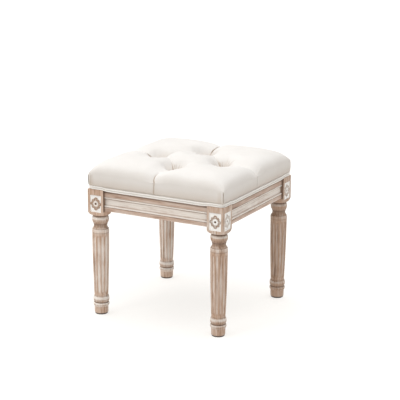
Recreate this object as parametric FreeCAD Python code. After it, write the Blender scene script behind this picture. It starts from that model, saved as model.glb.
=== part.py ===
import FreeCAD, Part
import math
import os

# Square upholstered dressing-table stool: four turned and fluted legs with
# square heads, four moulded rails, corner braces, a plywood seat board with
# foam, batting and a buttoned cover, a double welt and a dust cover.
# Millimetres, +Z up, front is -Y, origin on the floor under the centre.

V = FreeCAD.Vector
os.makedirs("parts", exist_ok=True)

# ---------------------------------------------------------------- dimensions
LEG_AXIS = 185.0          # leg axis to the stool's centre planes
HEAD_W = 50.0             # square head of a leg
HEAD_TOP = 362.7          # top of the heads, where the seat rests
HEAD_FLAT_BOTTOM = 288.5  # underside of the square part
POMMEL_TOP = 300.0        # where the corner rounding starts
HEAD_CHAMFER = 10.0       # flat cut on the inner corner for the brace bolt

GLIDE_H = 3.2
GLIDE_R = 17.6
GLIDE_NAIL_R = 1.2
GLIDE_NAIL_L = 17.0

# flutes of the turned column
FLUTES = 12
FLUTE_TOP = 227.0
FLUTE_END = 64.0
FLUTE_R_TOP = 5.0
FLUTE_R_END = 4.2
FLUTE_DEPTH = 2.3

RAIL_INNER = 182.0        # inner face of a rail to the centre plane
RAIL_BAND = 204.0         # outer face of its two plain bands
RAIL_FIELD = 200.6        # outer face of the sunk field
RAIL_TOP = 360.0
RAIL_BOTTOM = 304.0
RAIL_BEAD_R = 1.8
UPPER_BEAD_Z = 341.8
LOWER_BEAD_Z = 318.2

PANEL_W = 35.5            # sunk panel on each outer face of a head
PANEL_BOTTOM = 298.0
PANEL_TOP = 347.0
PANEL_DEPTH = 2.4
ROSETTE_Z = 322.0

DOWEL_R = 4.0
DOWEL_IN = 18.0
DOWEL_Z = (316.0, 347.0)

BRACE_T = 20.0
BRACE_Z0 = 320.0
BRACE_Z1 = 358.0
BRACE_GAP = 3.0
BOLT_R = 4.0
BOLT_Z = 337.0
BOLT_IN_LEG = 32.0
WASHER_R = 11.0
WASHER_T = 1.6
NUT_AF = 13.0
NUT_T = 6.5

BOARD_HALF = 198.0
BOARD_Z0 = 364.5
BOARD_T = 12.0
BOARD_CORNER = 14.0

SKIN = 1.2                # cover fabric
BATTING = 4.0
DUST_T = 0.6
DUST_HALF = 178.0
FLAP_IN = 170.0           # how far the cover returns under the board

SEAT_LOW_HALF = 205.1     # cover plane behind the welt
SEAT_HALF = 208.4         # cover plane above the welt
SEAT_CORNER = 11.0
SEAT_STEP_Z = 373.2
# half width, corner radius and height of the padded seat's sections
CROWN = [(206.8, 9.5, 373.2), (208.4, 11.0, 378.0), (208.4, 11.0, 406.0), (207.4, 12.0, 412.0),
         (204.4, 13.0, 419.5), (198.0, 14.0, 427.0), (186.0, 16.0, 434.5), (166.0, 18.0, 441.5),
         (130.0, 20.0, 447.0), (60.0, 16.0, 450.0)]

TUFT_OUT = 97.0           # tufts sit on the centre lines
TUFT_Z = 405.0            # where a button bears on the cover
TUFT_R0 = 13.5
TUFT_SLOPE = 0.42
BUTTON_R = 11.5
BUTTON_H = 7.5
TWINE_R = 0.9
TWINE_HOLE_R = 1.3

WELT_R = 2.45
WELT_PITCH = 4.7
WELT_CENTRE = SEAT_LOW_HALF + WELT_R
WELT_Z0 = 362.95
WELT_FILL_R = 1.7
WELT_CORNER = SEAT_CORNER - 3.0 + WELT_R

STAPLE_CROWN = 10.0
STAPLE_WIRE = 0.7
STAPLE_LEG = 7.0
STAPLE_T = 0.6

CORNERS = [("front_left", 0), ("front_right", 90), ("back_right", 180), ("back_left", 270)]
SIDES = [("front", 0), ("right", 90), ("back", 180), ("left", 270)]


# ------------------------------------------------------------------- helpers
def turned(shape, deg):
    s = shape.copy()
    s.rotate(V(0, 0, 0), V(0, 0, 1), deg)
    return s


def box(x0, y0, z0, x1, y1, z1):
    return Part.makeBox(x1 - x0, y1 - y0, z1 - z0, V(x0, y0, z0))


def rounded_square(half, radius, z):
    a, r, k = half, radius, radius * (1 - math.sqrt(0.5))
    e = []
    pts = [(-a + r, -a, a - r, -a), (a, -a + r, a, a - r),
           (a - r, a, -a + r, a), (-a, a - r, -a, -a + r)]
    mids = [(a - k, -a + k), (a - k, a - k), (-a + k, a - k), (-a + k, -a + k)]
    for i in range(4):
        x0, y0, x1, y1 = pts[i]
        nx, ny = pts[(i + 1) % 4][0:2]
        e.append(Part.LineSegment(V(x0, y0, z), V(x1, y1, z)).toShape())
        e.append(Part.Arc(V(x1, y1, z), V(mids[i][0], mids[i][1], z), V(nx, ny, z)).toShape())
    return Part.Wire(e)


def slab(half, radius, z0, z1):
    return Part.Face(rounded_square(half, radius, z0)).extrude(V(0, 0, z1 - z0))


def polygon_prism(pts, z0, z1):
    w = Part.makePolygon([V(x, y, z0) for x, y in pts] + [V(pts[0][0], pts[0][1], z0)])
    return Part.Face(w).extrude(V(0, 0, z1 - z0))


def save(name, shape):
    if not shape.isValid():
        shape = shape.copy()
        shape.fix(1e-4, 1e-4, 1e-4)
    shape.exportStep("parts/" + name + ".step")
    print("%-22s solids %2d  volume %10.1f  valid %s" % (name, len(shape.Solids), shape.Volume, shape.isValid()))


def group(shapes):
    return Part.makeCompound(shapes)


# ----------------------------------------------------------------------- leg
def line(a, b):
    return Part.LineSegment(V(a[0], 0, a[1]), V(b[0], 0, b[1])).toShape()


def arc(a, m, b):
    return Part.Arc(V(a[0], 0, a[1]), V(m[0], 0, m[1]), V(b[0], 0, b[1])).toShape()


def turned_leg():
    # radius, height pairs up the outside of the turning
    e = []
    e.append(line((0, GLIDE_H), (17.2, GLIDE_H)))
    e.append(arc((17.2, GLIDE_H), (18.5, 3.9), (19.0, 6.0)))
    e.append(line((19.0, 6.0), (19.5, 21.6)))
    e.append(arc((19.5, 21.6), (20.1, 23.4), (21.4, 25.6)))      # hollow under the lower ring
    e.append(arc((21.4, 25.6), (22.2, 29.6), (20.9, 33.4)))      # lower ring
    e.append(line((20.9, 33.4), (19.9, 33.8)))
    e.append(line((19.9, 33.8), (19.9, 36.0)))                   # groove
    e.append(line((19.9, 36.0), (20.6, 36.6)))
    e.append(arc((20.6, 36.6), (22.3, 44.6), (20.3, 52.4)))      # upper ring
    e.append(line((20.3, 52.4), (19.2, 53.0)))
    e.append(line((19.2, 53.0), (19.3, 56.0)))
    col = Part.BSplineCurve()
    col.interpolate([V(19.3, 0, 56.0), V(20.0, 0, 75.0), V(20.9, 0, 100.0), V(21.7, 0, 125.0),
                     V(22.3, 0, 150.0), V(22.8, 0, 178.0), V(23.2, 0, 207.0), V(23.5, 0, 238.0)])
    e.append(col.toShape())
    e.append(arc((23.5, 238.0), (23.75, 242.5), (22.9, 247.6)))  # shoulder
    e.append(line((22.9, 247.6), (22.0, 248.8)))
    e.append(arc((22.0, 248.8), (19.4, 252.9), (18.5, 257.2)))   # cove
    e.append(line((18.5, 257.2), (18.8, 260.6)))
    e.append(line((18.8, 260.6), (19.5, 261.2)))
    e.append(line((19.5, 261.2), (19.5, 263.2)))                 # fillet
    e.append(arc((19.5, 263.2), (22.6, 269.6), (23.5, 276.4)))   # ovolo
    e.append(arc((23.5, 276.4), (23.2, 279.6), (21.9, 282.2)))
    e.append(line((21.9, 282.2), (21.2, 284.0)))                 # neck under the head
    e.append(line((21.2, 284.0), (21.2, HEAD_FLAT_BOTTOM + 2)))
    e.append(line((21.2, HEAD_FLAT_BOTTOM + 2), (0, HEAD_FLAT_BOTTOM + 2)))
    e.append(line((0, HEAD_FLAT_BOTTOM + 2), (0, GLIDE_H)))
    face = Part.Face(Part.Wire(e))
    return face.revolve(V(0, 0, 0), V(0, 0, 1), 360)


def flute_cutter(deg):
    # a tapered rod with ball ends laid along the column
    c0 = 19.62 + FLUTE_R_END - FLUTE_DEPTH
    c1 = 23.38 + FLUTE_R_TOP - FLUTE_DEPTH
    a = V(c0, 0, FLUTE_END)
    b = V(c1, 0, FLUTE_TOP)
    d = b - a
    rod = Part.makeCone(FLUTE_R_END, FLUTE_R_TOP, d.Length, a, d)
    cut = rod.fuse([Part.makeSphere(FLUTE_R_END, a), Part.makeSphere(FLUTE_R_TOP, b)])
    cut.rotate(V(0, 0, 0), V(0, 0, 1), deg)
    return cut


def leg_head():
    h = HEAD_W / 2
    blk = box(-h, -h, HEAD_FLAT_BOTTOM, h, h, HEAD_TOP)
    # the lathe rounds the four lower corners
    k = h * math.sqrt(2) + 0.4
    e = [line((0, HEAD_FLAT_BOTTOM), (24.0, HEAD_FLAT_BOTTOM)),
         arc((24.0, HEAD_FLAT_BOTTOM), (31.4, 292.2), (k, POMMEL_TOP)),
         line((k, POMMEL_TOP), (k, HEAD_TOP)),
         line((k, HEAD_TOP), (0, HEAD_TOP)),
         line((0, HEAD_TOP), (0, HEAD_FLAT_BOTTOM))]
    pommel = Part.Face(Part.Wire(e)).revolve(V(0, 0, 0), V(0, 0, 1), 360)
    blk = blk.common(pommel)
    # inner corner flat for the brace bolt, +X +Y corner before turning
    c = HEAD_CHAMFER
    cut = polygon_prism([(h - c - 2, h + 2), (h + 2, h - c - 2), (h + 3, h + 3)], HEAD_FLAT_BOTTOM - 1, HEAD_TOP + 1)
    return blk.cut(cut)


def rosette_relief():
    # carved four-lobed ornament on the sunk panel of the -Y face,
    # in the head's own coordinates, standing on the panel's ground
    y = -HEAD_W / 2 + PANEL_DEPTH
    z = ROSETTE_Z

    def disc(u, w, r, high):
        return Part.makeCylinder(r, high, V(u, y + 0.01, z + w), V(0, -1, 0))

    def lobes(dr, high):
        s = disc(0, 0, 8.0 + dr, high)
        return s.fuse([disc(-8.6, 0, 6.4 + dr, high), disc(8.6, 0, 6.4 + dr, high),
                       disc(0, -10.2, 6.6 + dr, high), disc(0, 10.2, 6.6 + dr, high)])

    ring = lobes(0.0, 1.7).cut(lobes(-2.5, 1.7 + 2.0).cut(lobes(-2.5, 0.7)))
    petals = [disc(-7.4, 0, 2.9, 1.3), disc(7.4, 0, 2.9, 1.3), disc(0, -8.6, 3.0, 1.3), disc(0, 8.6, 3.0, 1.3)]
    boss = disc(0, 0, 4.6, 1.9).cut(disc(0, 0, 2.1, 3.0).cut(disc(0, 0, 2.1, 1.2)))
    return ring.fuse(petals + [boss])


def make_leg():
    body = turned_leg().fuse(leg_head())
    body = body.cut([flute_cutter((i + 0.5) * 360.0 / FLUTES) for i in range(FLUTES)])
    h = HEAD_W / 2
    recess = box(-PANEL_W / 2, -h - 1, PANEL_BOTTOM, PANEL_W / 2, -h + PANEL_DEPTH, PANEL_TOP)
    recess2 = turned(recess, -90)
    body = body.cut([recess, recess2])
    r1 = rosette_relief()
    body = body.fuse([r1, turned(r1, -90)])
    # place as the front left leg: its outer faces look to -X and -Y
    body.translate(V(-LEG_AXIS, -LEG_AXIS, 0))
    cuts = dowel_set_for_corner(DOWEL_R)
    d = V(-1, -1, 0)
    start = V(-LEG_AXIS + h - HEAD_CHAMFER / 2, -LEG_AXIS + h - HEAD_CHAMFER / 2, BOLT_Z)
    cuts.append(Part.makeCylinder(BOLT_R, BOLT_IN_LEG, start, d))
    cuts.append(Part.makeCylinder(GLIDE_NAIL_R, GLIDE_NAIL_L, V(-LEG_AXIS, -LEG_AXIS, 1.0), V(0, 0, 1)))
    return body.cut(cuts).removeSplitter()


def dowel_set_for_corner(r):
    """Dowels between the front left head and its two rails."""
    mid = -(RAIL_INNER + RAIL_BAND - 4.0) / 2
    face = -LEG_AXIS + HEAD_W / 2
    out = []
    for z in DOWEL_Z:
        out.append(Part.makeCylinder(r, 2 * DOWEL_IN, V(face - DOWEL_IN, mid, z), V(1, 0, 0)))
        out.append(Part.makeCylinder(r, 2 * DOWEL_IN, V(mid, face - DOWEL_IN, z), V(0, 1, 0)))
    return out


# ---------------------------------------------------------------------- rail
def make_rail():
    """Front rail: section in (y, z), run along X between the heads."""
    o, f, i = -RAIL_BAND, -RAIL_FIELD, -RAIL_INNER
    b, ub, lb = RAIL_BEAD_R, UPPER_BEAD_Z, LOWER_BEAD_Z

    def p(y, z):
        return V(0, y, z)

    def ln(a, c):
        return Part.LineSegment(p(*a), p(*c)).toShape()

    def ar(a, m, c):
        return Part.Arc(p(*a), p(*m), p(*c)).toShape()

    e = [ln((i, RAIL_TOP), (o + 1.2, RAIL_TOP)),
         ar((o + 1.2, RAIL_TOP), (o + 0.35, RAIL_TOP - 0.35), (o, RAIL_TOP - 1.2)),
         ln((o, RAIL_TOP - 1.2), (o, ub + b + 1.0)),
         ln((o, ub + b + 1.0), (o + 0.9, ub + b + 0.2)),
         ar((o + 0.9, ub + b + 0.2), (o - 0.9, ub), (o + 0.9, ub - b - 0.2)),
         ln((o + 0.9, ub - b - 0.2), (f + 0.9, ub - b - 0.9)),
         ln((f + 0.9, ub - b - 0.9), (f + 0.9, ub - b - 1.9)),
         ln((f + 0.9, ub - b - 1.9), (f, ub - b - 2.6)),
         ln((f, ub - b - 2.6), (f, lb + b + 2.6)),
         ln((f, lb + b + 2.6), (f + 0.9, lb + b + 1.9)),
         ln((f + 0.9, lb + b + 1.9), (f + 0.9, lb + b + 0.9)),
         ln((f + 0.9, lb + b + 0.9), (o + 0.9, lb + b + 0.2)),
         ar((o + 0.9, lb + b + 0.2), (o - 0.9, lb), (o + 0.9, lb - b - 0.2)),
         ln((o + 0.9, lb - b - 0.2), (o, lb - b - 1.0)),
         ln((o, lb - b - 1.0), (o, RAIL_BOTTOM + 1.5)),
         ar((o, RAIL_BOTTOM + 1.5), (o + 0.45, RAIL_BOTTOM + 0.45), (o + 1.5, RAIL_BOTTOM)),
         ln((o + 1.5, RAIL_BOTTOM), (i, RAIL_BOTTOM)),
         ln((i, RAIL_BOTTOM), (i, RAIL_TOP))]
    half = LEG_AXIS - HEAD_W / 2
    face = Part.Face(Part.Wire(e))
    face.translate(V(-half, 0, 0))
    rail = face.extrude(V(2 * half, 0, 0))
    cuts = [c for c in dowel_set_for_corner(DOWEL_R)]
    cuts += [turned(c, 90) for c in dowel_set_for_corner(DOWEL_R)]
    cuts += brace_screw_set(1.9, 2.0) + [turned(c, 90) for c in brace_screw_set(1.9, 2.0)]
    return rail.cut(cuts)


# ------------------------------------------------------------- corner braces
def brace_lines():
    """x + y of the brace's two long faces at the back right (+,+) corner."""
    flat = 2 * (LEG_AXIS - HEAD_W / 2) + HEAD_CHAMFER
    outer = flat - BRACE_GAP * math.sqrt(2)
    return outer, outer - BRACE_T * math.sqrt(2)


SCREW_V = 128.0           # along the rail, from the centre plane
SCREW_Z = (327.5, 348.5)
SCREW_HEAD_AT = 172.5     # flat bottom of the counterbore, from the centre plane
SCREW_TIP = 195.0


def brace_screw_set(shank, head):
    """Screws of the front left brace: two into the front rail, two into the left rail."""
    out = []
    for z in SCREW_Z:
        for flip in (0, 1):
            tip_len = SCREW_TIP - SCREW_HEAD_AT
            s = Part.makeCylinder(shank, tip_len - 3.0, V(-SCREW_V, -SCREW_HEAD_AT, z), V(0, -1, 0))
            s = s.fuse(Part.makeCone(shank, 0.3, 3.0, V(-SCREW_V, -SCREW_HEAD_AT - tip_len + 3.0, z), V(0, -1, 0)))
            if head > 2.5:
                s = s.fuse(Part.makeCylinder(head, 2.4, V(-SCREW_V, -SCREW_HEAD_AT + 2.4, z), V(0, -1, 0)))
                slot = box(-SCREW_V - 0.5, -SCREW_HEAD_AT + 1.4, z - 3.0, -SCREW_V + 0.5, -SCREW_HEAD_AT + 3.0, z + 3.0)
                slot2 = box(-SCREW_V - 3.0, -SCREW_HEAD_AT + 1.4, z - 0.5, -SCREW_V + 3.0, -SCREW_HEAD_AT + 3.0, z + 0.5)
                s = s.cut([slot, slot2])
            if flip:
                s = s.mirror(V(0, 0, 0), V(1, -1, 0))
            out.append(s)
    return out


def seat_screw_xy():
    outer, inner = brace_lines()
    mid = (outer + inner) / 2
    return -(mid / 2 + 15.0), -(mid / 2 - 15.0)


SEAT_SCREW_Z0 = 326.0
SEAT_SCREW_TIP = 374.0


def seat_screw(shank, head):
    x, y = seat_screw_xy()
    s = Part.makeCylinder(shank, SEAT_SCREW_TIP - 4.0 - SEAT_SCREW_Z0, V(x, y, SEAT_SCREW_Z0), V(0, 0, 1))
    s = s.fuse(Part.makeCone(shank, 0.3, 4.0, V(x, y, SEAT_SCREW_TIP - 4.0), V(0, 0, 1)))
    if head:
        s = s.fuse(Part.makeCylinder(head, 2.6, V(x, y, SEAT_SCREW_Z0 - 2.6), V(0, 0, 1)))
        c1 = box(x - 0.5, y - 3, SEAT_SCREW_Z0 - 3, x + 0.5, y + 3, SEAT_SCREW_Z0 - 1.2)
        c2 = box(x - 3, y - 0.5, SEAT_SCREW_Z0 - 3, x + 3, y + 0.5, SEAT_SCREW_Z0 - 1.2)
        s = s.cut([c1, c2])
    return s


def make_brace():
    """Front left corner brace."""
    outer, inner = brace_lines()
    i = RAIL_INNER
    pts = [(-i, -(outer - i)), (-i, -(inner - i)), (-(inner - i), -i), (-(outer - i), -i)]
    b = polygon_prism(pts, BRACE_Z0, BRACE_Z1)
    c = -outer / 2
    cuts = [Part.makeCylinder(BOLT_R + 0.4, BRACE_T * 2, V(c, c, BOLT_Z) - V(1, 1, 0), V(1, 1, 0))]
    cuts += brace_screw_set(1.9, 2.0)
    for z in SCREW_Z:
        a = Part.makeCylinder(4.6, 40.0, V(-SCREW_V, -SCREW_HEAD_AT, z), V(0, 1, 0))
        cuts += [a, a.mirror(V(0, 0, 0), V(1, -1, 0))]
    x, y = seat_screw_xy()
    cuts.append(Part.makeCylinder(2.3, 60.0, V(x, y, BRACE_Z0 - 1), V(0, 0, 1)))
    cuts.append(Part.makeCylinder(4.8, SEAT_SCREW_Z0 - BRACE_Z0 + 1, V(x, y, BRACE_Z0 - 1), V(0, 0, 1)))
    b = b.cut(cuts)
    return b


def bolt_parts():
    """Hanger bolt, washer and nut of the front left corner."""
    outer, inner = brace_lines()
    d = V(1, 1, 0)
    d.normalize()
    h = HEAD_W / 2
    leg_face = V(-LEG_AXIS + h - HEAD_CHAMFER / 2, -LEG_AXIS + h - HEAD_CHAMFER / 2, BOLT_Z)
    total = BRACE_GAP + BRACE_T + WASHER_T + NUT_T + 4.0
    bolt = Part.makeCylinder(BOLT_R, total - 1.0 + BOLT_IN_LEG - 4.0, leg_face - d * (BOLT_IN_LEG - 4.0), d)
    bolt = bolt.fuse([Part.makeCone(BOLT_R, BOLT_R - 1.0, 1.0, leg_face + d * (total - 1.0), d),
                      Part.makeCone(0.6, BOLT_R, 4.0, leg_face - d * BOLT_IN_LEG, d)])
    back = leg_face + d * (BRACE_GAP + BRACE_T)
    washer = Part.makeCylinder(WASHER_R, WASHER_T, back, d).cut(Part.makeCylinder(BOLT_R + 0.2, WASHER_T + 2, back - d, d))
    seat = back + d * WASHER_T
    hexr = NUT_AF / math.sqrt(3)
    pts = []
    for k in range(7):
        a = math.radians(60 * k)
        pts.append(V(hexr * math.cos(a), hexr * math.sin(a), 0))
    nut = Part.Face(Part.makePolygon(pts)).extrude(V(0, 0, NUT_T))
    dome = Part.makeCone(NUT_AF / 2 + 0.2, NUT_AF / 2 + 0.2 + NUT_T * 2, NUT_T * 2, V(0, 0, 0), V(0, 0, 1))
    cap = Part.makeCone(NUT_AF / 2 + 0.2 + NUT_T * 2, NUT_AF / 2 + 0.2, NUT_T * 2, V(0, 0, -NUT_T), V(0, 0, 1))
    nut = nut.common(dome).common(cap)
    nut = nut.cut(Part.makeCylinder(BOLT_R, NUT_T + 2, V(0, 0, -1), V(0, 0, 1)))
    nut.Placement = FreeCAD.Placement(seat, FreeCAD.Rotation(V(0, 0, 1), d))
    return bolt, washer, nut


# ------------------------------------------------------------------- cushion
def cushion_form(inset):
    """Outside of the padded seat, pulled in by inset all round."""
    low = slab(SEAT_LOW_HALF - inset, SEAT_CORNER - 3.0 - inset, BOARD_Z0 - SKIN + inset, SEAT_STEP_Z + 12.0)
    wires = []
    for k, (half, corner, z) in enumerate(CROWN):
        zz = z + inset if k < 2 else z - inset
        wires.append(rounded_square(half - inset, max(corner - inset, 2.0), zz))
    up = Part.makeLoft(wires, True, True)
    form = up.fuse(low)
    pits = []
    for k in range(4):
        c = V(0, -TUFT_OUT, TUFT_Z - inset)
        hgt = CROWN[-1][2] + 6.0 - TUFT_Z + inset
        r0 = TUFT_R0 + inset
        cone = Part.makeCone(r0, r0 + hgt * TUFT_SLOPE, hgt, c, V(0, 0, 1))
        pits.append(turned(cone, 90 * k))
    return form.cut(pits)


def twine_holes(r, z0, z1):
    return [turned(Part.makeCylinder(r, z1 - z0, V(0, -TUFT_OUT, z0), V(0, 0, 1)), 90 * k) for k in range(4)]


def make_button():
    """Covered button in the front tuft."""
    c = V(0, -TUFT_OUT, TUFT_Z)
    big = (BUTTON_R ** 2 + (BUTTON_H - 2.5) ** 2) / (2 * (BUTTON_H - 2.5))
    dome = Part.makeSphere(big, c + V(0, 0, BUTTON_H - big))
    disc = Part.makeCylinder(BUTTON_R, BUTTON_H, c, V(0, 0, 1))
    b = disc.common(dome)
    loop_hole = Part.makeCylinder(TWINE_HOLE_R, 3.0, c - V(0, 0, 0.5), V(0, 0, 1))
    return b.cut(loop_hole)


def make_twine():
    """Front tuft's twine: down through the pad and board, then along the groove."""
    z_top = TUFT_Z + 2.3
    z_low = BOARD_Z0 + 1.3
    a = Part.makeCylinder(TWINE_R, z_top - z_low, V(0, -TUFT_OUT, z_low), V(0, 0, 1))
    ball = Part.makeSphere(TWINE_R, V(0, -TUFT_OUT, z_low))
    b = Part.makeCylinder(TWINE_R, 22.0, V(0, -TUFT_OUT, z_low), V(0, 1, 0))
    return a.fuse([ball, b])


def staple(x, y, deg, z_crown_top, thick, crown=STAPLE_CROWN, leg=STAPLE_LEG):
    """Wire staple driven upwards, crown's upper face at z_crown_top."""
    w = STAPLE_WIRE
    s = box(-crown / 2, -w / 2, z_crown_top - thick, crown / 2, w / 2, z_crown_top)
    l1 = box(-crown / 2, -w / 2, z_crown_top - thick, -crown / 2 + w, w / 2, z_crown_top + leg)
    l2 = box(crown / 2 - w, -w / 2, z_crown_top - thick, crown / 2, w / 2, z_crown_top + leg)
    s = s.fuse([l1, l2]).removeSplitter()
    s.rotate(V(0, 0, 0), V(0, 0, 1), deg)
    s.translate(V(x, y, 0))
    return s


def staple_row(offset, along, z_crown_top):
    out = []
    for k in range(4):
        for x in along:
            s = staple(x, -offset, 0, z_crown_top, STAPLE_T)
            out.append(turned(s, 90 * k))
    return out


# ---------------------------------------------------------------------- welt
def ring_of(section_face, half, corner):
    """Carry a section, drawn at y = -half on the YZ plane, round a rounded square."""
    parts = []
    straight = section_face.copy()
    straight.translate(V(-(half - corner), 0, 0))
    bar = straight.extrude(V(2 * (half - corner), 0, 0))
    bend = section_face.copy()
    bend.translate(V(half - corner, 0, 0))
    c = V(half - corner, -(half - corner), 0)
    curve = bend.revolve(c, V(0, 0, 1), 90)
    for k in range(4):
        parts += [turned(bar, 90 * k), turned(curve, 90 * k)]
    ring = parts[0].fuse(parts[1:]).removeSplitter()
    return ring


def make_welt():
    y = -WELT_CENTRE
    z0 = WELT_Z0 + WELT_R
    z1 = z0 + WELT_PITCH
    d0 = Part.Face(Part.Wire(Part.makeCircle(WELT_R, V(0, y, z0), V(1, 0, 0))))
    d1 = Part.Face(Part.Wire(Part.makeCircle(WELT_R, V(0, y, z1), V(1, 0, 0))))
    both = d0.fuse(d1).removeSplitter()
    h0 = Part.Face(Part.Wire(Part.makeCircle(WELT_FILL_R, V(0, y, z0), V(1, 0, 0))))
    h1 = Part.Face(Part.Wire(Part.makeCircle(WELT_FILL_R, V(0, y, z1), V(1, 0, 0))))
    section = both.cut([h0, h1])
    skin = ring_of(section.Faces[0], WELT_CENTRE, WELT_CORNER)
    fills = [ring_of(h0, WELT_CENTRE, WELT_CORNER), ring_of(h1, WELT_CENTRE, WELT_CORNER)]
    return skin, fills


# -------------------------------------------------------------------- glides
def make_glide():
    x = -LEG_AXIS
    g = Part.makeCylinder(GLIDE_R - 0.9, GLIDE_H, V(x, x, 0), V(0, 0, 1))
    rim = Part.makeCone(GLIDE_R - 0.9, GLIDE_R, 0.9, V(x, x, 0), V(0, 0, 1))
    rim = rim.fuse(Part.makeCylinder(GLIDE_R, GLIDE_H - 0.9, V(x, x, 0.9), V(0, 0, 1)))
    g = g.fuse(rim).removeSplitter()
    return g.cut([Part.makeCylinder(GLIDE_NAIL_R, 10, V(x, x, -1), V(0, 0, 1)),
                  Part.makeCylinder(4.2, 1.6, V(x, x, -0.4), V(0, 0, 1))])


def make_glide_nail():
    x = -LEG_AXIS
    n = Part.makeCylinder(3.9, 0.8, V(x, x, 0.4), V(0, 0, 1))
    n = n.fuse(Part.makeCylinder(GLIDE_NAIL_R, GLIDE_NAIL_L - 2.5, V(x, x, 1.0), V(0, 0, 1)))
    return n.fuse(Part.makeCone(GLIDE_NAIL_R, 0.2, 2.0, V(x, x, GLIDE_NAIL_L - 1.5), V(0, 0, 1)))


# ================================================================== assembly
leg = make_leg()
rail = make_rail()
brace = make_brace()
bolt, washer, nut = bolt_parts()
for name, deg in CORNERS:
    save("leg_" + name, turned(leg, deg))
    save("corner_brace_" + name, turned(brace, deg))
for name, deg in SIDES:
    save("rail_" + name, turned(rail, deg))

dowels, screws, seat_screws = [], [], []
for name, deg in CORNERS:
    dowels += [turned(d, deg) for d in dowel_set_for_corner(DOWEL_R)]
    screws += [turned(s, deg) for s in brace_screw_set(1.9, 4.2)]
    seat_screws.append(turned(seat_screw(2.1, 4.2), deg))
save("rail_dowels", group(dowels))
save("hanger_bolts", group([turned(bolt, d) for n, d in CORNERS]))
save("brace_washers", group([turned(washer, d) for n, d in CORNERS]))
save("brace_nuts", group([turned(nut, d) for n, d in CORNERS]))
save("brace_screws", group(screws))
save("seat_screws", group(seat_screws))

# staples first, because the board and the fabrics carry their holes
ALONG = [-147.0 + 42.0 * k for k in range(8)]
cover_staples = staple_row(186.0, ALONG, BOARD_Z0 - SKIN)
dust_staples = staple_row(173.5, ALONG, BOARD_Z0 - SKIN - DUST_T)
tie_staples = [turned(staple(0, -TUFT_OUT + 14.0, 0, BOARD_Z0 + 0.1, STAPLE_T, 8.0, 7.0), 90 * k) for k in range(4)]

board = slab(BOARD_HALF, BOARD_CORNER, BOARD_Z0, BOARD_Z0 + BOARD_T)
grooves = [turned(box(-1.4, -TUFT_OUT, BOARD_Z0 - 1, 1.4, -TUFT_OUT + 26.0, BOARD_Z0 + 2.4), 90 * k) for k in range(4)]
board = board.cut(twine_holes(3.0, BOARD_Z0 - 1, BOARD_Z0 + BOARD_T + 1) + grooves)
board = board.cut(seat_screws)
board = board.cut(cover_staples + dust_staples + tie_staples)
save("seat_board", board)

outer = cushion_form(0.0)
mid = cushion_form(SKIN)
core = cushion_form(SKIN + BATTING)
base = box(-300, -300, 300, 300, 300, BOARD_Z0 + BOARD_T)
foam = core.cut(base).cut(twine_holes(TWINE_HOLE_R, 370, 440))
print("foam box", foam.BoundBox)
save("foam_pad", foam)

board_block = slab(BOARD_HALF, BOARD_CORNER, BOARD_Z0 - 5, BOARD_Z0 + BOARD_T)
batting = mid.cut(foam.fuse(core.cut(base))).cut(board_block).cut(twine_holes(TWINE_HOLE_R, 370, 440))
save("batting_wrap", batting)

opening = slab(FLAP_IN, 4.0, BOARD_Z0 - 10, BOARD_Z0 + 5)
cover = outer.cut(mid).cut(opening).cut(twine_holes(TWINE_HOLE_R, 370, 440))
clear = [turned(Part.makeCylinder(2.8, 8, V(seat_screw_xy()[0], seat_screw_xy()[1], 359), V(0, 0, 1)), d) for n, d in CORNERS]
cover = cover.cut(cover_staples + dust_staples + clear)
save("seat_cover", cover)
print("cover box", cover.BoundBox)

button = make_button()
for name, deg in SIDES:
    save("tuft_button_" + name, turned(button, deg))
twine = make_twine()
save("tuft_twines", group([turned(twine, 90 * k) for k in range(4)]))
save("twine_staples", group([t.cut([turned(twine, 90 * k) for k in range(4)]) for t in tie_staples]))

welt, fills = make_welt()
save("double_welt", welt)
save("welt_filler_cords", group(fills))

dust = slab(DUST_HALF, 3.0, BOARD_Z0 - SKIN - DUST_T, BOARD_Z0 - SKIN)
dust = dust.cut([turned(Part.makeCylinder(2.8, 20, V(seat_screw_xy()[0], seat_screw_xy()[1], 350), V(0, 0, 1)), d) for n, d in CORNERS])
dust = dust.cut(dust_staples)
save("dust_cover", dust)
save("cover_staples", group(cover_staples))
save("dust_cover_staples", group(dust_staples))

glide = make_glide()
for name, deg in CORNERS:
    save("glide_" + name, turned(glide, deg))
save("glide_nails", group([turned(make_glide_nail(), d) for n, d in CORNERS]))
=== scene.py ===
import math

import bpy
import numpy as np
from mathutils import Matrix, Vector


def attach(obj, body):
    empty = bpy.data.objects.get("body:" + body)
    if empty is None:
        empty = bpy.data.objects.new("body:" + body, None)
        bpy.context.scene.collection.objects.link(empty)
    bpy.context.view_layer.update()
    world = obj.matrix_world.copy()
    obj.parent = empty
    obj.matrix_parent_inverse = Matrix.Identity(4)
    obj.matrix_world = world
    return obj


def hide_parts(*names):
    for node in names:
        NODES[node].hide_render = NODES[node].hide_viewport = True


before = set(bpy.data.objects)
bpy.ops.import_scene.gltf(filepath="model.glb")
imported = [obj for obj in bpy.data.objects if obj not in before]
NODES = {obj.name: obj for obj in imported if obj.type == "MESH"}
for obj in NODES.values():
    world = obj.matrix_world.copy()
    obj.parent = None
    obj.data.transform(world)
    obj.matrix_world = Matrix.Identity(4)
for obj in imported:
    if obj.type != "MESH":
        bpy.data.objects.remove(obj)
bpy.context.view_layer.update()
MM = 0.001

# Vanity stool: limed turned legs, moulded rails, tufted ivory seat with a double welt.
# Sizes below are millimetres in the frame; meshes are written in metres.


# ------------------------------------------------------------------ small tools
def ss(a, b, x):
    t = np.clip((x - a) / (b - a), 0.0, 1.0)
    return t * t * (3.0 - 2.0 * t)


def smin(a, b, k):
    h = np.clip(0.5 + 0.5 * (b - a) / k, 0.0, 1.0)
    return b + (a - b) * h - k * h * (1.0 - h)


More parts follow.
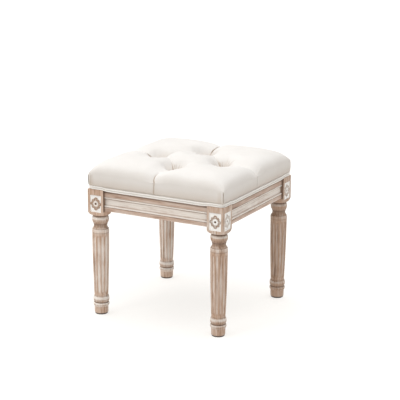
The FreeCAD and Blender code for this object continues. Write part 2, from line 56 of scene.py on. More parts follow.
def arc3(a, m, b, n):
    """n points on the arc from a through m to b, without a."""
    ax, ay = a
    bx, by = m
    cx, cy = b
    d = 2 * (ax * (by - cy) + bx * (cy - ay) + cx * (ay - by))
    ux = ((ax**2 + ay**2) * (by - cy) + (bx**2 + by**2) * (cy - ay) + (cx**2 + cy**2) * (ay - by)) / d
    uy = ((ax**2 + ay**2) * (cx - bx) + (bx**2 + by**2) * (ax - cx) + (cx**2 + cy**2) * (bx - ax)) / d
    r = math.hypot(ax - ux, ay - uy)
    t0, tm, t1 = (math.atan2(p[1] - uy, p[0] - ux) for p in (a, m, b))
    ccw = (bx - ax) * (cy - ay) - (by - ay) * (cx - ax) > 0
    if ccw:
        while t1 < t0:
            t1 += 2 * math.pi
    else:
        while t1 > t0:
            t1 -= 2 * math.pi
    return [(ux + r * math.cos(t0 + (t1 - t0) * (i + 1) / n), uy + r * math.sin(t0 + (t1 - t0) * (i + 1) / n)) for i in range(n)]


def build(name, verts, faces, attrs=None, sharp=None, flip=False):
    me = bpy.data.meshes.new(name)
    if flip:
        faces = [tuple(reversed(f)) for f in faces]
    me.from_pydata((np.asarray(verts, float) * MM).tolist(), [], faces)
    me.validate(clean_customdata=False)
    me.update()
    for key, val in (attrs or {}).items():
        a = me.attributes.new(key, "FLOAT", "POINT")
        a.data.foreach_set("value", np.asarray(val, np.float32))
    me.shade_smooth()
    if sharp is not None:
        me.set_sharp_from_angle(angle=math.radians(sharp))
    ob = bpy.data.objects.new(name, me)
    bpy.context.scene.collection.objects.link(ob)
    return ob


def quads(idx, wrap):
    """Faces of a grid of vertex numbers, rows by columns, wrapped round its columns or not."""
    a = idx[:-1]
    b = idx[1:]
    if wrap:
        a2, b2 = np.roll(a, -1, 1), np.roll(b, -1, 1)
    else:
        a, a2, b, b2 = a[:, :-1], a[:, 1:], b[:, :-1], b[:, 1:]
    return np.stack([a, a2, b2, b], -1).reshape(-1, 4).tolist()


def zipper(r0, a0, r1, a1):
    """Triangles between two closed rings of vertices with rising angles a0 and a1."""
    n0, n1 = len(r0), len(r1)
    out, i, j = [], 0, 0
    while i < n0 or j < n1:
        t0 = a0[(i + 1) % n0] + (2 * math.pi if i + 1 >= n0 else 0)
        t1 = a1[(j + 1) % n1] + (2 * math.pi if j + 1 >= n1 else 0)
        if j >= n1 or (i < n0 and t0 <= t1):
            out.append((r0[i % n0], r0[(i + 1) % n0], r1[j % n1]))
            i += 1
        else:
            out.append((r0[i % n0], r1[(j + 1) % n1], r1[j % n1]))
            j += 1
    return out


# ------------------------------------------------------------------ materials
class Mat:
    def __init__(self, name):
        self.m = bpy.data.materials.new(name)
        self.m.use_nodes = True
        self.t = self.m.node_tree
        self.t.nodes.clear()
        self.out = self.t.nodes.new("ShaderNodeOutputMaterial")
        self.b = self.t.nodes.new("ShaderNodeBsdfPrincipled")
        self.t.links.new(self.b.outputs[0], self.out.inputs[0])
        self.co = self.t.nodes.new("ShaderNodeTexCoord").outputs["Object"]

    def link(self, a, b):
        self.t.links.new(a, b)

    def const(self, **kw):
        for k, v in kw.items():
            self.b.inputs[k.replace("_", " ")].default_value = v

    def feed(self, sock, v):
        if isinstance(v, (int, float)):
            sock.default_value = v
        elif isinstance(v, tuple):
            sock.default_value = v if len(v) == 4 or sock.type == "VECTOR" else (*v, 1.0)
        else:
            self.link(v, sock)

    def scaled(self, scale, shift=(0, 0, 0), vec=None):
        n = self.t.nodes.new("ShaderNodeMapping")
        n.inputs["Scale"].default_value = scale
        n.inputs["Location"].default_value = shift
        self.link(vec if vec is not None else self.co, n.inputs["Vector"])
        return n.outputs[0]

    def noise(self, scale, shift=(0, 0, 0), detail=3.0, rough=0.5, warp=0.0):
        n = self.t.nodes.new("ShaderNodeTexNoise")
        n.inputs["Scale"].default_value = 1.0
        n.inputs["Detail"].default_value = detail
        n.inputs["Roughness"].default_value = rough
        n.inputs["Distortion"].default_value = warp
        self.link(self.scaled(scale, shift), n.inputs["Vector"])
        return n.outputs["Fac"]

    def attr(self, name):
        n = self.t.nodes.new("ShaderNodeAttribute")
        n.attribute_name = name
        return n.outputs["Fac"]

    def math(self, op, a, b=0.0, c=None, clamp=False):
        n = self.t.nodes.new("ShaderNodeMath")
        n.operation = op
        n.use_clamp = clamp
        self.feed(n.inputs[0], a)
        self.feed(n.inputs[1], b)
        if c is not None:
            self.feed(n.inputs[2], c)
        return n.outputs[0]

    def mix(self, f, a, b, mode="MIX"):
        n = self.t.nodes.new("ShaderNodeMix")
        n.data_type = "RGBA"
        n.blend_type = mode
        n.clamp_factor = True
        self.feed(n.inputs[0], f)
        self.feed(n.inputs[6], a)
        self.feed(n.inputs[7], b)
        return n.outputs[2]

    def ramp(self, f, stops, ease="LINEAR"):
        n = self.t.nodes.new("ShaderNodeValToRGB")
        n.color_ramp.interpolation = ease
        e = n.color_ramp.elements
        while len(e) < len(stops):
            e.new(0.5)
        for i, (p, c) in enumerate(stops):
            e[i].position = p
            e[i].color = (c, c, c, 1) if isinstance(c, (int, float)) else (*c, 1.0)
        self.link(f, n.inputs[0])
        return n.outputs[0]

    def bump(self, h, strength, dist, under=None):
        n = self.t.nodes.new("ShaderNodeBump")
        n.inputs["Strength"].default_value = strength
        n.inputs["Distance"].default_value = dist
        self.link(h, n.inputs["Height"])
        if under is not None:
            self.link(under, n.inputs["Normal"])
        return n.outputs[0]

    def done(self, colour, rough, normal=None):
        self.feed(self.b.inputs["Base Color"], colour)
        self.feed(self.b.inputs["Roughness"], rough)
        if normal is not None:
            self.link(normal, self.b.inputs["Normal"])
        return self.m


def grain(axis, across, along):
    s = [across] * 3
    s["xyz".index(axis)] = along
    return tuple(s)


def limed_wood(name, axis, shift, brown=(0.50, 0.325, 0.225), dark=(0.235, 0.145, 0.095), mid=(0.60, 0.450, 0.355), pale=(0.84, 0.785, 0.725), less=0.0, tone_down=1.0, streaky=1.0):
    """Brown hardwood rubbed with white wax, which stays in the pores and in the carving's recesses; wax_and_highlight
    also carries painted highlights on rounded tops, and stain_and_shade carries painted shade in grooves, under ledges
    and beside joints as well as brown staining.
    """
    m = Mat(name)
    broad = m.noise(grain(axis, 38, 6), shift, 2, 0.5)
    streak = m.noise(grain(axis, 260, 11), shift, 4, 0.6, 0.15)
    fine = m.noise(grain(axis, 900, 34), shift, 3, 0.6)
    cloud = m.noise((22, 22, 22), shift, 3, 0.55)
    wax_and_highlight, stain_and_shade = m.attr("wax_and_highlight"), m.attr("stain_and_shade")
    patch = m.noise(grain(axis, 75, 17), (shift[1], shift[2], shift[0]), 3, 0.6, 0.3)
    tone = m.math("ADD", m.math("MULTIPLY", streak, 0.50), m.math("ADD", m.math("MULTIPLY", broad, 0.25), m.math("MULTIPLY", patch, 0.25)))
    dark, brown, mid, pale = (tuple(tone_down * c for c in q) for q in (dark, brown, mid, pale))
    base = m.ramp(tone, [(0.36, dark), (0.47, brown), (0.58, mid)])
    # white wax and painted highlight: paler where wax_and_highlight is high, broken up by the pores
    pale_mix = m.math("ADD", wax_and_highlight, m.math("MULTIPLY_ADD", fine, 0.75, -0.40))
    pale_mix = m.math("ADD", pale_mix, m.math("MULTIPLY_ADD", streak, 1.3 * streaky, -0.66 * streaky))
    pale_mix = m.math("ADD", pale_mix, m.math("MULTIPLY_ADD", cloud, 0.6, -0.30 - less))
    pale_mix = m.math("ADD", pale_mix, m.math("MULTIPLY_ADD", patch, 1.3 * streaky, -0.66 * streaky))
    pale_mix = m.math("MULTIPLY", m.ramp(pale_mix, [(0.05, 0.0), (0.95, 1.0)], "EASE"), 0.92)
    col = m.mix(pale_mix, base, pale)
    paint_ = m.math("MULTIPLY", m.math("SUBTRACT", wax_and_highlight, 1.15), 2.2, clamp=True)
    col = m.mix(paint_, col, (0.93, 0.91, 0.88))
    # brown staining and painted shade: darker where stain_and_shade is high
    dk = m.math("MULTIPLY", stain_and_shade, m.math("MULTIPLY_ADD", cloud, 0.5, 0.70), clamp=True)
    col = m.mix(dk, col, tuple(0.60 * c for c in dark))
    b1 = m.bump(fine, 0.30, 0.0003)
    b2 = m.bump(streak, 0.22, 0.0006, b1)
    rough = m.math("MULTIPLY_ADD", pale_mix, 0.16, 0.50)
    m.const(Specular_IOR_Level=0.28)
    return m.done(col, rough, b2)


def raw_wood(name, axis, shift, light, dark, lines=70.0):
    m = Mat(name)
    broad = m.noise(grain(axis, lines, lines * 0.1), shift, 3, 0.55, 0.4)
    fine = m.noise(grain(axis, 900, 30), shift, 4, 0.6)
    tone = m.math("ADD", m.math("MULTIPLY", broad, 0.6), m.math("MULTIPLY", fine, 0.4))
    col = m.ramp(tone, [(0.34, dark), (0.52, tuple(0.5 * (a + b) for a, b in zip(light, dark))), (0.68, light)])
    m.const(Specular_IOR_Level=0.25)
    return m.done(col, m.math("MULTIPLY_ADD", fine, 0.2, 0.55), m.bump(fine, 0.4, 0.0004))


def plywood(name, z0, z1, layers):
    """Birch ply: long grain on the faces, layers of turned grain on the edges."""
    m = Mat(name)
    sep = m.t.nodes.new("ShaderNodeSeparateXYZ")
    m.link(m.co, sep.inputs[0])
    level = m.math("MULTIPLY", m.math("SUBTRACT", sep.outputs[2], z0 * MM), layers / ((z1 - z0) * MM))
    odd = m.math("GREATER_THAN", m.math("FRACT", m.math("MULTIPLY", level, 0.5)), 0.5)
    gx = m.noise((9, 420, 60), (3, 0, 0), 4, 0.6)
    gy = m.noise((420, 9, 60), (1, 7, 0), 4, 0.6)
    face = m.noise((4, 46, 4), (8, 2, 0), 3, 0.5, 0.6)
    grainy = m.t.nodes.new("ShaderNodeMix")
    m.link(odd, grainy.inputs[0])
    m.link(gx, grainy.inputs[2])
    m.link(gy, grainy.inputs[3])
    tone = m.math("ADD", m.math("MULTIPLY", grainy.outputs[0], 0.5), m.math("MULTIPLY", face, 0.5))
    light = m.ramp(tone, [(0.35, (0.52, 0.38, 0.24)), (0.65, (0.72, 0.58, 0.41))])
    darker = m.ramp(tone, [(0.35, (0.36, 0.235, 0.135)), (0.65, (0.52, 0.375, 0.235))])
    col = m.mix(odd, light, darker)
    m.const(Specular_IOR_Level=0.25)
    return m.done(col, 0.68, m.bump(gx, 0.4, 0.0003))


def metal(name, light, dark, rough=0.34, scale=160.0):
    m = Mat(name)
    n = m.noise((scale, scale, scale), (2, 5, 1), 4, 0.6)
    fine = m.noise((1600, 1600, 1600), (0, 3, 0), 2, 0.5)
    m.const(Metallic=1.0)
    return m.done(m.ramp(n, [(0.32, dark), (0.66, light)]), m.math("MULTIPLY_ADD", n, 0.35, rough - 0.12), m.bump(fine, 0.15, 0.0001))


def threads(m, shift, pitch=1500.0, slub=90.0):
    """Height of a plain weave: threads along each axis, read on whichever face they lie in."""
    a = m.noise((slub, pitch, pitch), shift, 1.5, 0.5)
    b = m.noise((pitch, slub, pitch), (shift[1], shift[0], 3), 1.5, 0.5)
    c = m.noise((pitch, pitch, slub), (5, shift[1], shift[0]), 1.5, 0.5)
    return m.math("MULTIPLY", m.math("ADD", m.math("ADD", a, b), c), 1 / 3)


def cloth(name, shift, base, shade, deep, sheen=0.12, pitch=1500.0, bump=0.35):
    """Ivory linen-look cloth: slubby weave, faint mottling, and painted shade, warmer and darker, down in the folds."""
    m = Mat(name)
    w = threads(m, shift, pitch)
    big = m.noise((14, 14, 14), shift, 3, 0.5)
    slub = m.noise((30, 700, 700), (shift[1], 2, 9), 3, 0.6)
    tone = m.math("ADD", m.math("MULTIPLY", big, 0.45), m.math("ADD", m.math("MULTIPLY", w, 0.40), m.math("MULTIPLY", slub, 0.15)))
    col = m.ramp(tone, [(0.36, shade), (0.60, base)])
    # painted shade: the deep colour where painted_fold_shade marks creases, pockets and hollows, near black above 1
    painted_fold_shade = m.attr("painted_fold_shade")
    col = m.mix(m.math("MULTIPLY", painted_fold_shade, 1.0, clamp=True), col, deep)
    col = m.mix(m.math("SUBTRACT", painted_fold_shade, 1.0, clamp=True), col, tuple(0.22 * c for c in deep))
    m.const(Sheen_Weight=sheen, Sheen_Roughness=0.5, Specular_IOR_Level=0.16)
    return m.done(col, m.math("MULTIPLY_ADD", w, 0.2, 0.74), m.bump(w, bump, 0.0004))


def plain_cloth(name, shift, light, dark, pitch=900.0, slub=60.0, rough=0.85, bump=0.6):
    m = Mat(name)
    w = threads(m, shift, pitch, slub)
    big = m.noise((30, 30, 30), shift, 3, 0.6)
    tone = m.math("ADD", m.math("MULTIPLY", w, 0.6), m.math("MULTIPLY", big, 0.4))
    m.const(Specular_IOR_Level=0.12)
    return m.done(m.ramp(tone, [(0.38, dark), (0.62, light)]), rough, m.bump(w, bump, 0.0005))


def plastic(name, light, dark):
    m = Mat(name)
    n = m.noise((420, 420, 420), (1, 1, 4), 3, 0.6)
    b = m.noise((60, 60, 60), (4, 1, 1), 3, 0.6)
    m.const(Specular_IOR_Level=0.4)
    return m.done(m.ramp(b, [(0.35, dark), (0.65, light)]), m.math("MULTIPLY_ADD", n, 0.3, 0.32), m.bump(n, 0.25, 0.0003))


def finish(ob, mat):
    ob.data.materials.clear()
    ob.data.materials.append(mat)


def paint(node, mat):
    o = NODES[node]
    if not o.material_slots:
        o.data.materials.append(mat)
    for s in o.material_slots:
        s.material = mat


# ------------------------------------------------------------------ camera
AZ, EL, ROLL = math.radians(28.25), math.radians(15.01), math.radians(0.39)
back = Vector((math.sin(AZ) * math.cos(EL), -math.cos(AZ) * math.cos(EL), math.sin(EL)))
target = Vector((0.0273, 0.0, 0.31288))
right = Vector((math.cos(AZ), math.sin(AZ), 0.0))
up = back.cross(right)
r2 = right * math.cos(ROLL) + up * math.sin(ROLL)
u2 = -right * math.sin(ROLL) + up * math.cos(ROLL)
cam = bpy.data.objects.new("camera", bpy.data.cameras.new("camera"))
bpy.context.scene.collection.objects.link(cam)
place = target + back * 3.907
cam.matrix_world = Matrix(((r2.x, u2.x, back.x, place.x), (r2.y, u2.y, back.y, place.y), (r2.z, u2.z, back.z, place.z), (0, 0, 0, 1)))
cam.data.sensor_fit = "HORIZONTAL"
cam.data.sensor_width = 36.0
cam.data.lens = 1395.06 / 400.0 * 36.0
cam.data.clip_end = 200.0
bpy.context.scene.camera = cam

# ------------------------------------------------------------------ legs
LEG_AXIS, HALF = 185.0, 25.0
HEAD_TOP, HEAD_BOTTOM, POMMEL_TOP = 362.7, 288.5, 300.0
COVE = [(19.3, 56.0), (20.0, 75.0), (20.9, 100.0), (21.7, 125.0), (22.3, 150.0), (22.8, 178.0), (23.2, 207.0), (23.5, 238.0)]


def leg_profile():
    """(radius, height) down to up, each with its white wax, plus painted highlight on the rings' crests, and its brown
    staining, plus painted shade in the grooves and under the rings.
    """
    rows = []

    def add(pts, wax_and_highlight, stain_and_shade):
        for i, (r, z) in enumerate(pts):
            f = (i + 1) / len(pts)
            w = wax_and_highlight if not isinstance(wax_and_highlight, tuple) else wax_and_highlight[0] + (wax_and_highlight[1] - wax_and_highlight[0]) * f
            s = stain_and_shade if not isinstance(stain_and_shade, tuple) else stain_and_shade[0] + (stain_and_shade[1] - stain_and_shade[0]) * f
            rows.append((r, z, w, s))

    def run(a, b, n):
        return [(a[0] + (b[0] - a[0]) * (i + 1) / n, a[1] + (b[1] - a[1]) * (i + 1) / n) for i in range(n)]

    # painted shade: the foot darker at its bottom edge
    add([(17.2, 3.2)], 0.1, 0.6)
    add(arc3((17.2, 3.2), (18.5, 3.9), (19.0, 6.0), 5), (0.1, 0.2), (0.5, 0.05))
    add(run((19.0, 6.0), (19.5, 21.6), 8), 0.20, 0.0)
    add(arc3((19.5, 21.6), (20.1, 23.4), (21.4, 25.6), 6), (0.35, 0.55), (0.25, 0.0))
    # the rings: painted shade on their lower halves and in the grooves, painted highlight on their crests
    ring = arc3((21.4, 25.6), (22.2, 29.6), (20.9, 33.4), 10)
    add(ring[:5], (0.22, 0.50), (0.28, 0.05))
    add(ring[5:], (0.62, 0.70), 0.0)
    add([(20.5, 33.55), (19.9, 33.8)], 0.15, (0.4, 0.75))
    add(run((19.9, 33.8), (19.9, 36.0), 3), 0.1, 0.85)
    add([(20.2, 36.2), (20.6, 36.6)], 0.2, (0.5, 0.2))
    ring = arc3((20.6, 36.6), (22.3, 44.6), (20.3, 52.4), 16)
    add(ring[:7], (0.15, 0.35), (0.35, 0.12))
    add(ring[7:13], (0.50, 0.85), 0.0)
    add(ring[13:], (0.7, 0.5), (0.0, 0.15))
    add([(19.7, 52.7), (19.2, 53.0)], 0.3, 0.25)
    add(run((19.2, 53.0), (19.3, 56.0), 4), 0.3, (0.3, 0.1))
    zs = sorted(set(list(np.arange(57.2, 69.0, 0.8)) + list(np.arange(69.0, 221.0, 5.0)) + list(np.arange(221.0, 233.4, 0.8)) + [235.5, 238.0]))
    cz = [p[1] for p in COVE]
    cr = [p[0] for p in COVE]
    # the fluted column, with a painted shade line at its top under the shoulder
    for z in zs:
        rows.append((float(np.interp(z, cz, cr)), z, 0.33 + 0.12 * float(ss(224, 234, z)), 0.40 if z == 238.0 else 0.0))
    # the neck: painted highlight on the shoulder's and the ovolo's tops, painted shade in the cove, at the fillets and
    # under the head
    add(arc3((23.5, 238.0), (23.75, 242.5), (22.9, 247.6), 8), (0.55, 0.7), 0.0)
    add([(22.5, 248.2), (22.0, 248.8)], 0.35, 0.55)
    add(arc3((22.0, 248.8), (19.4, 252.9), (18.5, 257.2), 9), (0.55, 0.2), (0.05, 0.40))
    add(run((18.5, 257.2), (18.8, 260.6), 3), 0.2, 0.5)
    add([(19.15, 260.9), (19.5, 261.2)], 0.3, 0.65)
    add(run((19.5, 261.2), (19.5, 263.2), 2), 0.2, 0.75)
    add(arc3((19.5, 263.2), (22.6, 269.6), (23.5, 276.4), 12), (0.10, 0.42), (0.45, 0.05))
    add(arc3((23.5, 276.4), (23.2, 279.6), (21.9, 282.2), 6), (0.70, 1.0), 0.0)
    add([(21.55, 283.1), (21.2, 284.0)], 0.5, 0.35)
    add([(21.2, 286.0), (21.2, 288.5)], 0.1, 0.9)
    return rows


def flute_radius(z, off, r):
    """Radius at angle off from the middle of a flute."""
    t = min(max((z - 64.0) / 163.0, 0.0), 1.0)
    c = 4.2 + 0.8 * t
    a = 21.52 + 4.56 * t
    over = max(64.0 - z, z - 227.0, 0.0)
    c2 = c * c - over * over
    if c2 <= 0:
        return np.full_like(off, r), np.zeros_like(off)
    s = a * np.sin(off)
    inside = s * s < c2
    rho = np.where(inside, a * np.cos(off) - np.sqrt(np.maximum(c2 - s * s, 0)), r)
    deep = np.clip((r - rho) / 2.3, 0, 1)
    return np.minimum(rho, r), deep


def head_arc():
    pts = [(24.0, HEAD_BOTTOM)] + arc3((24.0, HEAD_BOTTOM), (31.4, 292.2), (HALF * math.sqrt(2) + 0.4, POMMEL_TOP), 14)
    return [p[1] for p in pts], [p[0] for p in pts]


def carving(u, z):
    """Depth under the face, and the wax, brown staining and painted shade of the sunk panel and its four-lobed
    ornament.
    """
    rect = np.maximum(np.abs(u) - 17.75, np.maximum(298.0 - z, z - 347.0))
    corner = np.hypot(np.maximum(np.abs(u) - 16.2, 0), np.maximum(np.maximum(299.6 - z, z - 345.4), 0)) - 1.6
    rect = np.maximum(rect, corner)
    sunk = ss(0.15, -0.95, rect)
    u = u / 1.05
    w = z - 322.0
    q = (np.hypot(u / 12.4, w / 14.2) - 1) * 13.2
    for cx, cy, r in ((-10.6, 0, 5.7), (10.6, 0, 5.7), (0, -12.6, 5.9), (0, 12.6, 5.9), (-7.6, 8.3, 4.7), (7.6, 8.3, 4.7), (-7.6, -8.3, 4.7), (7.6, -8.3, 4.7)):
        q = smin(q, np.hypot(u - cx, w - cy) - r, 0.6)
    rim = np.sqrt(np.clip(1 - ((q + 2.2) / 2.3) ** 2, 0, 1))
    inside = ss(-3.9, -4.7, q)
    th = np.arctan2(w * 0.86, u)
    notch = ss(0.75, 1.0, np.abs(np.cos(4 * th))) * rim
    high = 2.2 * rim + 0.5 * inside
    rr = np.hypot(u, w)
    boss = np.sqrt(np.clip(1 - ((rr - 5.2) / 2.6) ** 2, 0, 1))
    high = np.maximum(high, 2.1 * boss)
    dot = ss(3.4, 2.7, rr)
    bead = np.sqrt(np.clip(1 - (rr / 2.4) ** 2, 0, 1))
    high = high * (1 - dot) + (0.1 + 0.8 * bead) * dot
    depth = sunk * (2.4 - np.clip(high, 0, 2.3))
    # painted shadow under the panel's top edge
    shade = ss(1.9, 0.2, 347.0 - z) * sunk
    wax_and_highlight = 0.08 + 1.75 * sunk
    wax_and_highlight = wax_and_highlight * (1 - np.sqrt(rim) * sunk)
    wax_and_highlight = wax_and_highlight * (1 - 0.45 * inside)
    wax_and_highlight = np.maximum(wax_and_highlight, 1.25 * np.sqrt(boss) * sunk)
    wax_and_highlight = wax_and_highlight * (1 - dot) * (1 - 0.9 * shade)
    stain_and_shade = 0.40 * np.sqrt(rim) * sunk * (1 - boss) + 0.95 * dot
    # painted shade at the rim's inner foot, under the panel's top edge and in the rim's cuts
    stain_and_shade = np.maximum(stain_and_shade, 0.42 * np.exp(-(((q + 4.3) / 0.7) ** 2)) * ss(6.4, 7.8, rr) * sunk)
    stain_and_shade = np.maximum(stain_and_shade, 0.75 * shade)
    stain_and_shade = np.maximum(stain_and_shade, 0.18 * notch * sunk)
    return depth, wax_and_highlight, stain_and_shade


def make_leg(name, sx, sy, mat, less):
    verts, wax_and_highlight, stain_and_shade, faces = [], [], [], []

    def put(x, y, z, w, s):
        verts.append((x, y, z))
        wax_and_highlight.append(w)
        stain_and_shade.append(s)

    # turned part
    prof = leg_profile()
    inner = np.sin(np.linspace(-1, 1, 15) * math.pi / 2)
    offs, mids = [], []
    per = math.radians(30)
    for z in [p[1] for p in prof]:
        t = min(max((z - 64.0) / 163.0, 0.0), 1.0)
        r = float(np.interp(min(max(z, 64), 227), [p[1] for p in COVE], [p[0] for p in COVE]))
        c, a = 4.2 + 0.8 * t, 21.52 + 4.56 * t
        wdt = math.acos((r * r + a * a - c * c) / (2 * r * a))
        flat = wdt + (per - 2 * wdt) * np.array([0.14, 0.38, 0.62, 0.86])
        offs.append(np.concatenate([inner * wdt, flat]))
    n_per = len(offs[0])
    rows = []
    for (r, z, w0, s0), off in zip(prof, offs):
        rad, deep = flute_radius(z, np.where(off > per / 2, off - per, off), r)
        fluted = float(ss(60, 70, z)) * float(ss(232, 222, z))
        keep = (0.12 if sx < 0 and z < 56 else 0.0) + less * (0.3 if sx > 0 and sy > 0 and z < 60 else 1.0) * (1.0 - 0.75 * float(ss(230, 244, z))) * (1.0 - float(ss(52, 62, z)) * float(ss(246, 236, z)))
        base = len(verts)
        for k in range(12):
            for o, q, d in zip(off, rad, deep):
                th = (k + 0.5) * per + o
                edge = 1.0 if 0 < d < 0.30 else 0.0
                put(q * math.cos(th), q * math.sin(th), z, w0 + (0.50 * d - 0.06) * fluted + keep, s0 + 0.20 * edge * fluted)
        rows.append(np.arange(base, len(verts)))
    lathe_top = rows[-1]
    faces += quads(np.array(rows), True)
    # foot's underside
    put(0, 0, 3.2, 0.1, 0.6)
    c = len(verts) - 1
    f0 = rows[0]
    faces += [(f0[(i + 1) % len(f0)], f0[i], c) for i in range(len(f0))]

    # head: four faces, the two outer ones carved
    az, ar = head_arc()
    zr = list(az) + [300.0]
    zs = [z for z in az if z < 297.2]
    zs += list(np.concatenate([np.linspace(297.2, 299.0, 7), np.arange(299.6, 345.8, 0.62), np.linspace(346.0, 347.6, 7), [350, 354, 358, 361.4, 361.9]]))
    zs = sorted(set(np.round(zs, 4)))
    fine = np.concatenate([np.linspace(-1, -0.95, 5)[:-1], np.linspace(-0.95, -0.73, 6)[:-1], np.linspace(-0.73, -0.66, 5)[:-1],
                           np.linspace(-0.66, 0.66, 57), np.linspace(0.66, 0.73, 5)[1:], np.linspace(0.73, 0.95, 6)[1:], np.linspace(0.95, 1, 5)[1:]])
    plain = np.concatenate([np.linspace(-1, -0.95, 5)[:-1], np.linspace(-0.95, 0.95, 15), np.linspace(0.95, 1, 5)[1:]])
    rho = 0.05
    cols = []  # (u, n, face)
    for f in range(4):
        for t in (fine if f < 2 else plain)[:-1]:
            if abs(t) <= 1 - rho:
                cols.append((HALF * t, HALF, f))
            else:
                phi = (abs(t) - (1 - rho)) / rho * math.pi / 4
                cc = HALF * (1 - rho)
                cols.append((math.copysign(cc + HALF * rho * math.sin(phi), t), cc + HALF * rho * math.cos(phi), f))
    U = np.array([c_[0] for c_ in cols])
    N = np.array([c_[1] for c_ in cols])
    Fc = np.array([c_[2] for c_ in cols])
    nx = np.array([1, 0, -1, 0])[Fc]
    ny = np.array([0, 1, 0, -1])[Fc]
    tx, ty = -ny, nx
    hrows = []
    for z in zs + [362.3, 362.6, 362.7]:
        rad = np.interp(z, az, ar) if z < POMMEL_TOP else 99.0
        s = np.minimum(1.0, rad / np.hypot(U, N))
        u, n = U * s, N * s
        d, w, st = carving(u, np.full_like(u, z))
        # the ornament on the right legs' right-looking faces is made paler, its brown fainter
        paler_ornament = 0.55 * ((Fc == 0) & (sx > 0) & (d > 0.05))
        st = st * (1 - paler_ornament)
        w = w + paler_ornament * (0.95 - w)
        outer = (Fc < 2) & (s >= 1.0)
        n = n - np.where(outer, d, 0)
        w = np.where(outer, w, 0.12)
        st = np.where(outer, st, 0.0)
        inset = {362.3: 0.15, 362.6: 0.42, 362.7: 0.85}.get(z, 0.0)
        if inset:
            k = (HALF - inset) / HALF
            u, n = u * k, n * k
        x = nx * n + tx * u
        y = ny * n + ty * u
        cut = x + y < -(2 * HALF - 10.0)
        k = np.where(cut, (2 * HALF - 10.0) / np.maximum(-(x + y), 1e-6), 1.0)
        x, y = x * k, y * k
        worn = np.exp(-np.abs(np.abs(u) - HALF) / 1.2)
        w = w + 0.10 * worn + 0.10 * ss(292, 289.5, z) + less + {(-1, -1): -0.17, (1, -1): 0.22, (1, 1): 0.08, (-1, 1): -0.04}[(sx, sy)]
        # painted shade on the inner faces' strip beside the rail, where the head stands proud of it
        reveal = (Fc >= 2) * ss(15.0, 18.5, np.where(Fc == 2, -u, u)) * ss(299, 303, z)
        st = np.maximum(st, 0.85 * reveal)
        # a brown line down the outer corner
        arris = (Fc < 2) * np.exp(-((np.hypot(x - HALF, y - HALF) - 0.6) / 1.1) ** 2) * ss(296, 304, z)
        st = np.maximum(st, 0.35 * arris)
        # painted shade, darker towards the head's underside
        if z < 290:
            st = st + 0.35 * (290 - z) / 1.5
        base = len(verts)
        for a, b, c1, c2 in zip(x, y, w, st):
            put(a, b, z, c1, c2)
        hrows.append(np.arange(base, len(verts)))
    faces += quads(np.array(hrows), True)
    put(0, 0, 362.7, 0.1, 0)
    c = len(verts) - 1
    t0 = hrows[-1]
    faces += [(t0[i], t0[(i + 1) % len(t0)], c) for i in range(len(t0))]
    V = np.array(verts)
    # join the neck to the head's underside
    h0 = hrows[0]
    ah = np.unwrap(np.arctan2(V[h0, 1], V[h0, 0]))
    al = np.unwrap(np.arctan2(V[lathe_top, 1], V[lathe_top, 0]))
    start = int(np.argmin(np.abs(((al - ah[0]) + math.pi) % (2 * math.pi) - math.pi)))
    lt = np.roll(lathe_top, -start)
    al = np.unwrap(np.arctan2(V[lt, 1], V[lt, 0]))
    al = al + 2 * math.pi * round((ah[0] - al[0]) / (2 * math.pi))
    faces += zipper(list(lt), list(al), list(h0), list(ah))
    V[:, 0] = sx * (V[:, 0] + LEG_AXIS)
    V[:, 1] = sy * (V[:, 1] + LEG_AXIS)
    ob = build(name, V, faces, {"wax_and_highlight": wax_and_highlight, "stain_and_shade": stain_and_shade}, 32, flip=(sx * sy < 0))
    finish(ob, mat)
    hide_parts(name.replace("_carved", ""))
    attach(ob, "root")
    return ob


LEGS = [("leg_front_left", -1, -1, 0.04, 1.02), ("leg_front_right", 1, -1, 0.24, 0.93), ("leg_back_right", 1, 1, 0.36, 0.86), ("leg_back_left", -1, 1, 0.0, 1.03)]
for i, (n, sx, sy, less, down) in enumerate(LEGS):
    make_leg(n + "_carved", sx, sy, limed_wood("limed_wood_" + n, "z", (3.1 * i + 1, 1.7 * i, 0.9 * i), less=less, tone_down=down, streaky=0.52), less)


